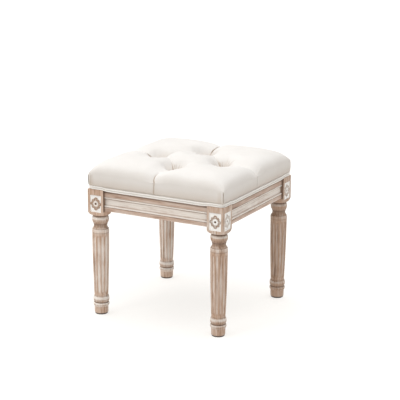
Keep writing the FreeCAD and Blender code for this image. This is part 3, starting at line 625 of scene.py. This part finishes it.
# ------------------------------------------------------------------ rails
def rail_section():
    """(out from the centre plane, height, wax and painted highlight, brown staining and painted shade), once round."""
    o, f, i_ = 204.0, 200.6, 182.0
    b, ub, lb = 1.8, 341.8, 318.2
    out = []

    def add(pts, w, s):
        out.extend([(p[0], p[1], w, s) for p in pts])

    add([(i_ + 0.6, 360.0), (190, 360.0), (198, 360.0), (o - 1.2, 360.0)], 0.15, 0.0)
    # painted shadow on the top band, under the welt's overhang
    add(arc3((o - 1.2, 360.0), (o - 0.35, 359.65), (o, 358.8), 4), 0.05, 0.7)
    add([(o, 358.0), (o, 356.6)], 0.05, 0.7)
    add([(o, 355.4)], 0.1, 0.25)
    add([(o, 354.4), (o, 351.0), (o, 347.5)], 0.12, 0.0)
    add([(o, ub + b + 1.8)], 0.20, 0.0)
    # painted shade beside each bead, painted highlight on the beads
    add([(o - 0.1, ub + b + 1.1), (o - 0.9, ub + b + 0.35)], 0.2, 0.50)
    add([(o - 0.9, ub + b + 0.2)], 0.5, 0.15)
    add(arc3((o - 0.9, ub + b + 0.2), (o + 0.9, ub), (o - 0.9, ub - b - 0.2), 9), 0.92, 0.0)
    add([(o - 1.4, ub - b - 0.4), (f - 0.9 + 1.8, ub - b - 0.9)], 0.2, 0.75)
    add([(f + 0.9, ub - b - 0.95), (f + 0.9, ub - b - 1.9)], 0.3, 0.65)
    add([(f + 0.1, ub - b - 2.5)], 0.5, 0.18)
    add([(f, ub - b - 3.4), (f, 333), (f, 330), (f, 327), (f, lb + b + 3.4)], 0.84, 0.0)
    add([(f + 0.1, lb + b + 2.5), (f + 0.9, lb + b + 1.9)], 0.5, 0.15)
    add([(f + 0.9, lb + b + 0.9)], 0.5, 0.15)
    add([(o - 1.4, lb + b + 0.4), (o - 0.9, lb + b + 0.2)], 0.6, 0.1)
    add(arc3((o - 0.9, lb + b + 0.2), (o + 0.9, lb), (o - 0.9, lb - b - 0.2), 9), 1.0, 0.0)
    add([(o - 0.9, lb - b - 0.35), (o - 0.1, lb - b - 1.1)], 0.15, 0.60)
    add([(o, lb - b - 1.8), (o, 312.0), (o, 309.0), (o, 306.5)], 0.17, 0.0)
    add([(o, 305.6)] + arc3((o, 305.5), (o - 0.45, 304.45), (o - 1.5, 304.0), 5), 0.28, 0.0)
    add([(198, 304.0), (190, 304.0), (i_ + 0.6, 304.0), (i_, 304.6), (i_, 332.0), (i_, 359.4)], 0.1, 0.0)
    return out


def make_rail(name, deg, mat):
    sec = rail_section()
    xs = np.concatenate([[-160.0, -159.4], np.linspace(-156, 156, 40), [159.4, 160.0]])
    verts, wax_and_highlight, stain_and_shade, rows = [], [], [], []
    for x in xs:
        base = len(verts)
        for (o, z, w, s) in sec:
            # painted shade on the rail's ends, beside the heads that stand proud of it
            near = math.exp(-(160 - abs(x)) / 2.2)
            verts.append((x, -o, z))
            wax_and_highlight.append(w)
            stain_and_shade.append(min(1.0, s + 0.6 * near * (1 if o > 183 else 0)))
        rows.append(np.arange(base, len(verts)))
    faces = quads(np.array(rows), True)
    faces.append(tuple(rows[0]))
    faces.append(tuple(rows[-1][::-1]))
    V = np.array(verts)
    a = math.radians(deg)
    V[:, :2] = V[:, :2] @ np.array([[math.cos(a), math.sin(a)], [-math.sin(a), math.cos(a)]])
    ob = build(name + "_moulded", V, faces, {"wax_and_highlight": wax_and_highlight, "stain_and_shade": stain_and_shade}, 40)
    finish(ob, mat)
    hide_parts(name)
    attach(ob, "root")
    return ob


RAILS = [("rail_front", 0), ("rail_right", 90), ("rail_back", 180), ("rail_left", 270)]
for i, (n, deg) in enumerate(RAILS):
    make_rail(n, deg, limed_wood("limed_wood_" + n, "x" if i % 2 == 0 else "y", (0.7 * i, 2.3 * i + 4, 5.1 * i),
                                 brown=(0.50, 0.345, 0.265), mid=(0.60, 0.465, 0.385), streaky=0.55))


# ------------------------------------------------------------------ seat cover
H = 208.8
T = 97.0
BEAR = 405.0


def axis_samples():
    xs, x = [0.0], 0.0
    while x < H - 0.02:
        step = min(2.0, 0.55 + 0.045 * x)
        step = min(step, max(0.05, 0.42 * math.sqrt(max(H - x, 0))))
        x += step
        xs.append(min(x, H))
    if xs[-1] < H:
        xs.append(H)
    xs = np.array(xs)
    return np.concatenate([-xs[:0:-1], xs])


def path_distance(x, y, pts):
    """Distance to a path of points, how far along it from 0 to 1, and on which side."""
    best = np.full(x.shape, 1e9)
    along = np.zeros(x.shape)
    side = np.ones(x.shape)
    run = [0.0]
    for a, b in zip(pts[:-1], pts[1:]):
        run.append(run[-1] + math.hypot(b[0] - a[0], b[1] - a[1]))
    for i, (a, b) in enumerate(zip(pts[:-1], pts[1:])):
        dx, dy = b[0] - a[0], b[1] - a[1]
        t = np.clip(((x - a[0]) * dx + (y - a[1]) * dy) / (dx * dx + dy * dy), 0, 1)
        ex, ey = x - a[0] - t * dx, y - a[1] - t * dy
        d = np.hypot(ex, ey)
        m = d < best
        best = np.where(m, d, best)
        along = np.where(m, (run[i] + t * (run[i + 1] - run[i])) / run[-1], along)
        side = np.where(m, np.sign(dx * ey - dy * ex), side)
    return best, along, side


def smooth_path(pts, n=6):
    """Catmull-Rom points through a short path."""
    p = [np.array(q, float) for q in pts]
    p = [2 * p[0] - p[1]] + p + [2 * p[-1] - p[-2]]
    out = []
    for i in range(1, len(p) - 2):
        for j in range(n):
            t = j / n
            q = 0.5 * (2 * p[i] + (p[i + 1] - p[i - 1]) * t + (2 * p[i - 1] - 5 * p[i] + 4 * p[i + 1] - p[i + 2]) * t * t + (3 * p[i] - p[i - 1] - 3 * p[i + 1] + p[i + 2]) * t**3)
            out.append(tuple(q))
    return out + [tuple(p[-2])]


# each tuft's crease out to the side: (sideways, outwards) for the front, right, back and left
LATERAL = [[(0, T), (4, 130), (1, 165), (-4, 196), (1, H)], [(0, T), (-4, 130), (-8, 165), (-11, 200), (-10, H)],
           [(0, T), (3, 130), (4, 165), (3, 198), (2, H)], [(0, T), (2, 130), (2, 165), (1, 198), (0, H)]]


def turn_point(p, k):
    x, y = p[0], -p[1]
    for _ in range(k):
        x, y = -y, x
    return (x, y)


CREASES = [smooth_path([turn_point(p, k) for p in LATERAL[k]]) for k in range(4)]
TUFTS = [(0, -T), (T, 0), (0, T), (-T, 0)]
BETWEEN = []
for k in range(4):
    a, b = np.array(TUFTS[k], float), np.array(TUFTS[(k + 1) % 4], float)
    mid = (a + b) / 2
    bow = mid / np.hypot(*mid) * (-4.0 if k % 2 else 4.0)
    BETWEEN.append(smooth_path([tuple(a), tuple(a * 0.75 + b * 0.25 + bow * 0.8), tuple(mid + bow), tuple(a * 0.25 + b * 0.75 + bow * 0.8), tuple(b)]))


# depth along each valley between tufts, then each outward valley's trough (depth, half width, power) and
# how much of it is a sharp crease, and each tuft's pocket and the shallow dish in front of it
VALLEY = [[29, 17, 6.5, 4, 4, 7, 15, 24, 29], [31, 27, 22, 15, 10, 11, 15, 23, 31],
          [31, 23, 16, 11, 9, 11, 16, 23, 31], [31, 24, 16, 11, 10, 14, 22, 27, 31]]
VALLEY_SHARP = [0.12, 1, 1, 1]
TROUGH = [(19, 36, 4.0), (19, 36, 2.0), (14, 34, 2.0), (16, 36, 2.0)]
SHARP = [[0, 0, 0, 0.10, 0.45, 0.45], [0, 0, 0.05, 0.08, 0.18, 0.2], [0.4, 0.45, 0.45, 0.45, 0.45, 0.45], [0.4, 0.45, 0.45, 0.45, 0.45, 0.45]]
POCKET = [(41, 28, 0, -3), (41, 24, -7, -4), (42, 30, -5, -4), (42, 28, -10, -4)]
DISH = [(14, 42, 12, -25), (17, 50, 12, -30), (18, 52, 10, -25), (17, 46, 4, -25)]


def crown(x, y):
    """Height of the stuffed top: a box-like crown, drawn down at four tufts and along the lines between them."""
    a = np.clip(np.abs(x) / H, 0, 1)
    b = np.clip(np.abs(y) / H, 0, 1)
    z = 406.0 + 37.4 * ((1 - a**8.9) * (1 - b**8.9)) ** 0.57
    terms = []
    for k, pts in enumerate(CREASES):
        d, t, s = path_distance(x, y, pts)
        dep = 1.28 * np.interp(t, [0, 0.12, 0.30, 0.57, 0.75, 0.93, 1.0], [21, 18, 15, 12.0, 10, 11, 8])
        sh = np.interp(t, [0, 0.2, 0.45, 0.65, 0.85, 1], SHARP[k])
        terms.append(dep * (sh * np.exp(-d / 7.4) + (1 - sh) * np.exp(-((d / 29.5) ** 1.6))))
        D, w, p = TROUGH[k]
        terms.append(D * np.interp(t, [0, 0.2, 0.42, 0.65, 0.85, 1], [1, 0.85, 0.55, 0.22, 0, 0]) * np.exp(-((d / w) ** p)))
    for k, pts in enumerate(BETWEEN):
        d, t, s = path_distance(x, y, pts)
        u = np.minimum(t, 1 - t)
        dep = np.interp(t, np.linspace(0, 1, 9), VALLEY[k])
        sh = VALLEY_SHARP[k] * np.interp(u, [0, 0.12, 0.3, 0.5], [0.5, 0.5, 0.4, 0.22])
        terms.append(dep * (sh * np.exp(-d / 5.0) + (1 - sh) * np.exp(-((d / 24.0) ** 1.6))))
    for k, (tx, ty) in enumerate(TUFTS):
        D, w, ox, oy = POCKET[k]
        terms.append(D * np.exp(-((np.hypot(x - tx - ox, y - ty - oy) / w) ** 2.0)))
        D, w, ox, oy = DISH[k]
        terms.append(D * np.exp(-((np.hypot(x - tx - ox, y - ty - oy) / w) ** 2)))
    S = np.array(terms)
    z = z - (S**4).sum(0) ** 0.25
    return BEAR + 0.5 * ((z - BEAR) + np.sqrt((z - BEAR) ** 2 + 6.0))


def round_corners(x, y, R=5.0, m=9.0):
    """Moves the square's edge onto a rounded square, fading inwards."""
    ax, ay = np.abs(x), np.abs(y)
    rho = np.maximum(ax, ay) / H
    rs = np.maximum(rho, 1e-9)
    v = np.minimum(ax, ay) / rs
    phi = np.clip((v - (H - R)) / R, 0, 1) * math.pi / 4
    inz = v > H - R
    big = np.where(inz, H - R + R * np.cos(phi), H)
    sml = np.where(inz, H - R + R * np.sin(phi), v)
    k = rho**m
    nb = rho * (H + (big - H) * k)
    ns = rho * (v + (sml - v) * k)
    xx = np.where(ax >= ay, nb, ns)
    yy = np.where(ax >= ay, ns, nb)
    return np.sign(x) * xx, np.sign(y) * yy


def vertex_normals(V, F):
    q = np.array([f for f in F if len(f) == 4])
    n = np.zeros_like(V)
    e1 = V[q[:, 2]] - V[q[:, 0]]
    e2 = V[q[:, 3]] - V[q[:, 1]]
    fn = np.cross(e1, e2)
    for i in range(4):
        np.add.at(n, q[:, i], fn)
    return n / np.maximum(np.linalg.norm(n, axis=1, keepdims=True), 1e-9)


def make_cushion():
    g = axis_samples()
    n = len(g)
    X, Y = np.meshgrid(g, g)          # rows along y
    Z = crown(X, Y)
    X2, Y2 = round_corners(X, Y)
    top = np.stack([X2, Y2, Z], -1).reshape(-1, 3)
    idx = np.arange(n * n).reshape(n, n)
    faces = quads(idx, False)
    ring = np.concatenate([idx[0, :-1], idx[:-1, -1], idx[-1, :0:-1], idx[:0:-1, 0]])
    edge = top[ring]
    m = len(ring)
    flat = np.stack([X, Y], -1).reshape(-1, 2)[ring]     # where the ring's points are on the square
    verts = [top]
    rows = [ring]
    count = n * n

    def shell(pts):
        nonlocal count
        verts.append(pts)
        rows.append(np.arange(count, count + m))
        count += m

    cx = np.clip(edge[:, 0], -(H - 5.0), H - 5.0)
    cy = np.clip(edge[:, 1], -(H - 5.0), H - 5.0)
    dx, dy = edge[:, 0] - cx, edge[:, 1] - cy
    dl = np.maximum(np.hypot(dx, dy), 1e-6)
    dx, dy = dx / dl, dy / dl
    bottom = 372.3
    levels = np.concatenate([np.linspace(0.06, 0.84, 14), [0.89, 0.93, 0.965, 1.0]])
    for f in levels:
        z = edge[:, 2] + (bottom - edge[:, 2]) * f
        o = 0.7 * math.sin(math.pi * min(f / 0.9, 1.0)) - 2.6 * max(0.0, (f - 0.86) / 0.14) ** 2
        shell(np.stack([edge[:, 0] + dx * o, edge[:, 1] + dy * o, z], -1))
    side_rows = len(rows)
    for z, o in ((369.0, -2.9), (366.0, -3.4), (364.2, -4.0), (363.35, -5.2)):
        shell(np.stack([edge[:, 0] + dx * o, edge[:, 1] + dy * o, np.full(m, z)], -1))
    for half, z in ((198.0, 363.3), (184.0, 363.3), (171.0, 363.3), (170.0, 363.7), (170.2, 364.3), (171.0, 364.45), (185.0, 364.45), (198.6, 364.45), (199.0, 364.9), (199.0, 376.3), (198.0, 376.9)):
        k = half / H
        shell(np.stack([edge[:, 0] * k, edge[:, 1] * k, np.full(m, z)], -1))
    verts.append(np.array([[0, 0, 377.0]]))
    faces += [tuple(q[::-1]) for q in quads(np.array(rows), True)]
    last = rows[-1]
    faces += [(last[(i + 1) % m], last[i], count) for i in range(m)][::-1]
    V = np.concatenate(verts)
    painted_fold_shade = np.zeros(len(V))

    # where each outside vertex is on the unrolled cover: x, y of the square and drop below the ring
    P = np.zeros((len(V), 2))
    P[: n * n] = np.stack([X, Y], -1).reshape(-1, 2)
    drop = np.zeros(len(V))
    for r in rows[1:side_rows]:
        P[r] = flat
        drop[r] = edge[:, 2] - V[r, 2]
    side = np.zeros(len(V), bool)
    for r in rows[1:side_rows]:
        side[r] = True
    skin = side.copy()
    skin[: n * n] = True
    N = vertex_normals(V, faces)
    push = np.zeros(len(V))
    px, py = P[:, 0], P[:, 1]
    # outward creases: the cloth laps over itself, one lip standing proud of the other
    lip_side = (1, 1, 1, -1)
    for k in range(4):
        d, t, s = path_distance(px, py, CREASES[k])
        c = d * s * lip_side[k]
        # on the sides the crease runs straight down from its end
        ex, ey = CREASES[k][-1]
        lx = px - ex if k % 2 == 0 else py - ey
        sgn = 1 if k in (0, 1) else -1
        face_on = (np.abs(py - ey) < 1e-6) if k % 2 == 0 else (np.abs(px - ex) < 1e-6)
        drift = np.array([-2.0, 1.0, 0.5, -0.5])[k]
        cs = (lx - sgn * drift * np.clip(drop / 30.0, 0, 1)) * sgn * lip_side[k]
        onside = side & face_on
        c = np.where(onside, cs, c)
        t0, t1 = ((0.70, 0.97), (0.55, 0.95), (0.05, 0.35), (0.05, 0.35))[k]
        grow = np.where(onside, 1.0, ss(t0, t1, t))
        fade = np.where(onside, 1.0 - 0.55 * ss(18, 34, drop), 1.0)
        amp = grow * fade * (1.0, 0.45, 1.0, 1.0)[k]
        lip = np.where(c > 0, 2.2 * np.exp(-((np.maximum(c - 0.4, 0) / 5.5) ** 1.3)) * ss(0.0, 0.9, c), 0)
        gap = -2.6 * np.exp(np.minimum(c, 0) / 3.2) * np.exp(-np.maximum(c, 0) / 0.35)
        push += np.where(skin, amp * (lip + gap), 0)
        # painted shade along the crease's gap
        painted_fold_shade += np.where(skin, amp * (1.15, 0.05, 1.1, 0.9)[k] * np.exp(-(((c + 0.5) / (1.6, 1.3, 1.3, 1.3)[k]) ** 2)), 0)
    # creases between the tufts: sharp near the buttons
    for k in range(4):
        d, t, s = path_distance(px, py, BETWEEN[k])
        u = np.minimum(t, 1 - t)
        amp = ss(0.42, 0.14, u) * ss(0.015, 0.06, u)
        amp = amp * ((0.15, 1.0), (1.0, 1.0), (0.8, 0.8), (1.0, 1.0))[k][0] if k else amp * np.where(t < 0.5, 0.1, 0.45)
        c = d * s
        lip = np.where(c > 0, 1.7 * np.exp(-c / 4.0) * ss(0, 0.8, c), 0)
        gap = -2.0 * np.exp(np.minimum(c, 0) / 2.2) * np.exp(-np.maximum(c, 0) / 0.35)
        push += np.where(skin & ~side, amp * (lip + gap), 0)
        # painted shade along the crease's gap
        painted_fold_shade += np.where(skin & ~side, amp * 0.9 * np.exp(-(((c + 0.4) / 1.2) ** 2)), 0)
    # gathers fanning out of each tuft up the pocket's wall
    rng = np.random.default_rng(11)
    for (tx, ty), gathered in zip(TUFTS, (1.0, 1.0, 0.22, 0.18)):
        r = np.hypot(px - tx, py - ty)
        a = np.arctan2(py - ty, px - tx) + 0.10 * np.sin(r / 9.0)
        w = np.zeros(len(V))
        crease = np.zeros(len(V))
        at = np.cumsum(rng.uniform(0.20, 0.46, 20)) + rng.uniform(0, 1)
        at = at[at < at[0] + 6.1]
        for a0 in at:
            reach = rng.uniform(20, 38)
            deep = rng.uniform(0.5, 1.3)
            da = (a - a0 + math.pi) % (2 * math.pi) - math.pi
            off = da * np.maximum(r, 6.0)
            run = ss(9.0, 13.0, r) * ss(reach + 6, reach - 10, r)
            w += -deep * run * np.exp(-((off / 1.15) ** 2)) + 0.55 * deep * run * np.exp(-(((off - 2.4) / 1.6) ** 2))
            crease += deep * run * np.exp(-((off / 0.9) ** 2))
        fan = gathered * (0.25 + 0.75 * ss(-0.5, 0.6, np.cos(a - 0.95)))
        push += np.where(skin & ~side, 1.5 * fan * w, 0)
        # painted shade in the gathers' creases and down in each pocket
        painted_fold_shade += np.where(skin & ~side, 0.5 * fan * crease, 0)
        painted_fold_shade += np.where(skin & ~side, 0.20 * ss(34, 12, r), 0)
    # corner pleats: a strip of the front or back cloth laid over, with a gap at the corner
    for sx in (-1, 1):
        for sy in (-1, 1):
            atx = H - px * sx        # distance from the corner along the front or back
            aty = H - py * sy
            onfb = np.abs(py * sy - H) < 1e-6
            c = np.where(onfb, -atx, aty)
            near_c = side & ((onfb & (atx < 30)) | ((np.abs(px * sx - H) < 1e-6) & (aty < 30)))
            hgt = ss(0.5, 7.0, drop) * (1 - 0.25 * ss(22, 32, drop))
            strip = 1.5 * ss(-8.6, -6.8, c) * ss(-0.2, -1.2, c)
            gap = (-0.8 if sx < 0 else -2.8) * np.exp(-(((c - 0.3) / 0.85) ** 2))
            push += np.where(near_c, hgt * (strip + gap), 0)
            # painted shade in the corner gap, a painted dark slit at the two left corners, and painted shade beside the
            # laid-over strip
            painted_fold_shade += np.where(near_c, hgt * (0.45 + 0.5 * ss(20, 8, drop)) * np.exp(-(((c - 0.3) / 1.1) ** 2)), 0)
            if sx < 0:
                slit = ss(2, 7, drop) * ss(33, 28, drop)
                painted_fold_shade += np.where(near_c, 1.9 * slit * ss(-4.4, -3.4, c) * ss(3.2, 2.0, c), 0)
            painted_fold_shade += np.where(near_c, hgt * (0.25 * np.exp(-(((c + 8.2) / 0.9) ** 2)) + 0.16 * np.exp(-(((c + 12.0) / 5.0) ** 2))), 0)
    # the sides pull in a little between the corners, and the cloth is never quite even
    soft = 0.55 * np.sin(px / 33.0 + 1.0) * np.sin(py / 41.0 + 2.0) + 0.35 * np.sin(px / 17.0 + py / 23.0)
    push += np.where(skin & ~side, soft * ss(0, 30, H - np.maximum(np.abs(px), np.abs(py))), 0)
    # painted shade: the sides darker towards the welt, the top darker near its edge
    painted_fold_shade += np.where(side, 0.14 + 0.30 * ss(6, 36, drop), 0)
    painted_fold_shade += np.where(skin & ~side, 0.14 * ss(16.0, 0.0, H - np.maximum(np.abs(px), np.abs(py))), 0)
    pull = np.cos(np.clip(np.minimum(np.abs(px), np.abs(py)) / H, 0, 1) * math.pi / 2)
    push += np.where(side, -0.8 * pull * np.sin(np.clip(drop / 36.0, 0, 1) * math.pi), 0)
    V = V + N * push[:, None]
    return V, faces, np.clip(painted_fold_shade, 0, 2), skin


V, F, painted_fold_shade, SKIN = make_cushion()
cushion = build("tufted_seat", V, F, {"painted_fold_shade": painted_fold_shade})
# the third colour is the painted shade in the folds
finish(cushion, cloth("ivory_cloth", (1, 4, 2), (0.772, 0.746, 0.716), (0.722, 0.692, 0.658), (0.45, 0.34, 0.245)))
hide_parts("seat_cover", "batting_wrap", "foam_pad")
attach(cushion, "root")


# ------------------------------------------------------------------ double welt
def make_welt():
    half, R = 207.55, 10.45
    pts = []
    for k in range(4):
        a = math.radians(90 * k)
        ca, sa = math.cos(a), math.sin(a)
        loc = [(x, -half, 0.0, -1.0) for x in np.linspace(-(half - R), half - R, 61)[:-1]]
        for j in range(12):
            t = math.radians(90 * j / 12)
            loc.append((half - R + R * math.sin(t), -(half - R) - R * math.cos(t), math.sin(t), -math.cos(t)))
        for x, y, nx, ny in loc:
            pts.append((x * ca - y * sa, x * sa + y * ca, nx * ca - ny * sa, nx * sa + ny * ca, x if abs(y + half) < 1e-6 else half))
    r, p = 2.45, 2.35
    th = math.acos(p / r)
    sec = []
    for j in range(15):
        a = -math.pi / 2 + th + (2 * math.pi - 2 * th) * j / 14
        sec.append((r * math.cos(a), p + r * math.sin(a)))
    for j in range(15):
        a = math.pi / 2 + th + (2 * math.pi - 2 * th) * j / 14
        sec.append((r * math.cos(a), -p + r * math.sin(a)))
    verts, rows, painted_fold_shade = [], [], []
    rng = np.random.default_rng(7)
    wob = rng.normal(size=(len(pts), 3))
    ker = np.exp(-np.linspace(-2, 2, 9) ** 2)
    ker /= ker.sum()
    wob = np.stack([np.convolve(np.concatenate([wob[-4:, c], wob[:, c], wob[:4, c]]), ker, "valid") for c in range(3)], -1)
    for (x, y, nx, ny, s), w in zip(pts, wob):
        sag = -2.4 * float(ss(170, 145, abs(s)))
        zc = 363.0 + r + p + sag + 0.18 * w[0]
        base = len(verts)
        for a, b in sec:
            k = 1 + 0.03 * w[1]
            verts.append((x + nx * a * k, y + ny * a * k, zc + b * k))
            # painted shade in the groove between the cords and under the lower cord
            painted_fold_shade.append(0.55 * float(ss(0.9, 0.2, abs(b))) + 0.25 * float(ss(3.6, 4.6, -b)))
        rows.append(np.arange(base, len(verts)))
    rows.append(rows[0])
    faces = quads(np.array(rows), True)
    return np.array(verts), faces, painted_fold_shade


V, F, painted_fold_shade = make_welt()
welt = build("welt_band", V, F, {"painted_fold_shade": painted_fold_shade})
# the third colour is the painted shade in the welt's groove
finish(welt, cloth("ivory_welt_cloth", (6, 2, 1), (0.845, 0.815, 0.775), (0.79, 0.75, 0.70), (0.50, 0.43, 0.37), pitch=1700.0))
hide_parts("double_welt", "welt_filler_cords")
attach(welt, "root")


# ------------------------------------------------------------------ dust cover
def make_dust():
    a = 178.0
    xs = np.linspace(-a, a, 73)
    X, Y = np.meshgrid(xs, xs)
    c = np.cos(X / a * math.pi / 2) * np.cos(Y / a * math.pi / 2)
    wave = 0.25 * np.sin(X / 11.0) * np.exp(-(a - np.abs(Y)) / 20) + 0.25 * np.sin(Y / 11.0) * np.exp(-(a - np.abs(X)) / 20)
    sag = -1.1 * c + wave * ss(0, 6, np.minimum(a - np.abs(X), a - np.abs(Y)))
    low = np.stack([X, Y, 362.75 + sag], -1).reshape(-1, 3)
    high = low + np.array([0, 0, 0.45])
    n = len(xs)
    i0 = np.arange(n * n).reshape(n, n)
    i1 = i0 + n * n
    faces = [tuple(q[::-1]) for q in quads(i0, False)] + quads(i1, False)
    def rim(i):
        return np.concatenate([i[0, :-1], i[:-1, -1], i[-1, :0:-1], i[:0:-1, 0]])
    faces += quads(np.array([rim(i0), rim(i1)]), True)
    return np.concatenate([low, high]), faces


V, F = make_dust()
dust = build("dust_lining", V, F)
finish(dust, plain_cloth("black_lining", (2, 2, 7), (0.030, 0.030, 0.032), (0.012, 0.012, 0.013), 700.0, 300.0))
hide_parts("dust_cover")
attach(dust, "root")

# ------------------------------------------------------------------ carried-over pieces
brace = raw_wood("sawn_hardwood", "x", (4, 1, 2), (0.66, 0.50, 0.34), (0.46, 0.31, 0.19))
for n in ("corner_brace_front_left", "corner_brace_front_right", "corner_brace_back_right", "corner_brace_back_left", "rail_dowels"):
    paint(n, brace)
paint("seat_board", plywood("birch_ply", 364.5, 376.5, 9))
zinc = metal("zinc_plate", (0.72, 0.72, 0.70), (0.45, 0.46, 0.46))
for n in ("hanger_bolts", "brace_washers", "brace_nuts", "brace_screws", "seat_screws", "glide_nails"):
    paint(n, zinc)
wire = metal("staple_wire", (0.62, 0.62, 0.60), (0.40, 0.40, 0.39), 0.40, 400.0)
for n in ("twine_staples", "cover_staples", "dust_cover_staples"):
    paint(n, wire)
paint("tuft_twines", plain_cloth("waxed_twine", (1, 3, 3), (0.80, 0.76, 0.66), (0.56, 0.50, 0.40), 1500.0, 500.0))


def make_button(name, x0, y0, turn):
    """A cloth-covered button: flat dome, soft rim, faint gathers running over the edge."""
    prof = [(0.0, 412.4), (2.2, 412.35), (4.4, 412.1), (6.4, 411.6), (8.2, 410.8), (9.6, 409.8), (10.6, 408.6), (11.1, 407.4), (11.2, 406.6), (10.9, 405.8), (10.2, 405.3), (8.0, 405.1), (5.0, 405.1), (2.5, 405.1)]
    n = 96
    verts, rows, painted_fold_shade = [(x0, y0, prof[0][1])], [], [0.0]
    for r, z in prof[1:]:
        base = len(verts)
        for k in range(n):
            th = 2 * math.pi * k / n
            g = math.sin(24 * th + turn) + 0.5 * math.sin(11 * th + 2 * turn)
            e = float(ss(7.5, 10.8, r)) * (1.0 if z > 405.2 else 0.4)
            rr = r - 0.10 * e * (1 - g)
            verts.append((x0 + rr * math.cos(th), y0 + rr * math.sin(th), z - 0.12 * e * (1 - g)))
            # painted shade in the gathers and at the rim
            painted_fold_shade.append(min(1.0, 0.25 * e * max(-g, 0.0) + 0.25 * float(ss(10.0, 11.0, r))))
        rows.append(np.arange(base, len(verts)))
    faces = [(0, int(rows[0][k]), int(rows[0][(k + 1) % n])) for k in range(n)]
    faces += [tuple(q[::-1]) for q in quads(np.array(rows), True)]
    verts.append((x0, y0, 405.1))
    c = len(verts) - 1
    faces += [(c, int(rows[-1][(k + 1) % n]), int(rows[-1][k])) for k in range(n)]
    painted_fold_shade.append(0.0)
    ob = build(name + "_covered", verts, faces, {"painted_fold_shade": painted_fold_shade})
    finish(ob, button_cloth)
    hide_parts(name)
    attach(ob, "root")


# the third colour is the painted shade in the button's gathers
button_cloth = cloth("button_cloth", (2, 2, 5), (0.800, 0.772, 0.740), (0.755, 0.722, 0.685), (0.50, 0.42, 0.35))
for i, (n, (bx, by)) in enumerate(zip(("tuft_button_front", "tuft_button_right", "tuft_button_back", "tuft_button_left"), TUFTS)):
    make_button(n, bx, by, 1.3 * i)
glide = plastic("glide_plastic", (0.060, 0.050, 0.044), (0.030, 0.025, 0.022))
for n in ("glide_front_left", "glide_front_right", "glide_back_right", "glide_back_left"):
    paint(n, glide)

# ------------------------------------------------------------------ floor and light
FLOOR_GLOW = 0.70
FLOOR_TONE = (0.36, 0.357, 0.353)
SKY = [(0.0, (0.20, 0.196, 0.19)), (0.5, (0.20, 0.198, 0.195)), (1.0, (0.20, 0.20, 0.20))]
GLOWS = [((0.0, 0.0, 1.0), 2.36, 3.0), ((-0.97, -0.20, 0.05), 0.80, 2.0)]
KEY = 37.0
scene = bpy.context.scene
scene.view_settings.view_transform = "Standard"
scene.view_settings.look = "None"
fm = bpy.data.meshes.new("floor")
fm.from_pydata([(-60, -60, 0), (60, -60, 0), (60, 60, 0), (-60, 60, 0)], [], [(0, 1, 2, 3)])
floor = bpy.data.objects.new("floor", fm)
scene.collection.objects.link(floor)
pm = Mat("studio_floor")
n = pm.noise((1.5, 1.5, 1.5), (0, 0, 0), 2, 0.5)
pm.const(Specular_IOR_Level=0.0, Emission_Color=(1.0, 0.978, 0.942, 1.0), Emission_Strength=FLOOR_GLOW)
finish(floor, pm.done(pm.ramp(n, [(0.3, FLOOR_TONE), (0.7, FLOOR_TONE)]), 0.9))

world = bpy.data.worlds.new("studio")
scene.world = world
world.use_nodes = True
wt = world.node_tree
wt.nodes.clear()


def wnode(kind, **kw):
    nd = wt.nodes.new(kind)
    for k, v in kw.items():
        setattr(nd, k, v)
    return nd


wo = wnode("ShaderNodeOutputWorld")
bg = wnode("ShaderNodeBackground")
tc = wnode("ShaderNodeTexCoord")
sp = wnode("ShaderNodeSeparateXYZ")
wt.links.new(tc.outputs["Generated"], sp.inputs[0])
rp = wnode("ShaderNodeValToRGB")
wt.links.new(sp.outputs[2], rp.inputs[0])
stops = SKY
el = rp.color_ramp.elements
while len(el) < len(stops):
    el.new(0.5)
for e, (p_, c_) in zip(el, stops):
    e.position, e.color = p_, (*c_, 1)


def glow(direction, power, width):
    """Broad soft patch of light round one direction of the studio."""
    d = wnode("ShaderNodeVectorMath", operation="DOT_PRODUCT")
    v = Vector(direction).normalized()
    d.inputs[1].default_value = v
    wt.links.new(tc.outputs["Generated"], d.inputs[0])
    c = wnode("ShaderNodeMath", operation="MAXIMUM")
    wt.links.new(d.outputs["Value"], c.inputs[0])
    c.inputs[1].default_value = 0.0
    p_ = wnode("ShaderNodeMath", operation="POWER")
    wt.links.new(c.outputs[0], p_.inputs[0])
    p_.inputs[1].default_value = width
    g_ = wnode("ShaderNodeMath", operation="MULTIPLY")
    wt.links.new(p_.outputs[0], g_.inputs[0])
    g_.inputs[1].default_value = power
    return g_.outputs[0]


total = None
for direction, power, width in GLOWS:
    g_ = glow(direction, power, width)
    if total is None:
        total = g_
    else:
        ad = wnode("ShaderNodeMath", operation="ADD")
        wt.links.new(total, ad.inputs[0])
        wt.links.new(g_, ad.inputs[1])
        total = ad.outputs[0]
mul = wnode("ShaderNodeVectorMath", operation="SCALE")
mul.inputs[0].default_value = (0.978, 0.984, 0.992)
wt.links.new(total, mul.inputs["Scale"])
add = wnode("ShaderNodeVectorMath", operation="ADD")
wt.links.new(rp.outputs[0], add.inputs[0])
wt.links.new(mul.outputs[0], add.inputs[1])
wt.links.new(add.outputs[0], bg.inputs[0])
bg.inputs[1].default_value = 1.0
wt.links.new(bg.outputs[0], wo.inputs[0])


def area(name, pos, at, size, power, colour):
    ld = bpy.data.lights.new(name, "AREA")
    ld.shape = "DISK"
    ld.size = size
    ld.energy = power
    ld.color = colour
    lo = bpy.data.objects.new(name, ld)
    scene.collection.objects.link(lo)
    lo.location = pos
    d = Vector(at) - Vector(pos)
    lo.rotation_euler = d.to_track_quat("-Z", "Y").to_euler()
    return lo


area("key", (-1.6, -3.6, 5.2), (0, 0, 0.25), 1.6, KEY, (1.0, 0.962, 0.905))
area("back_key", (-1.5, 2.6, 4.2), (0, 0, 0.25), 1.6, 0.2 * KEY, (1.0, 0.99, 0.98))
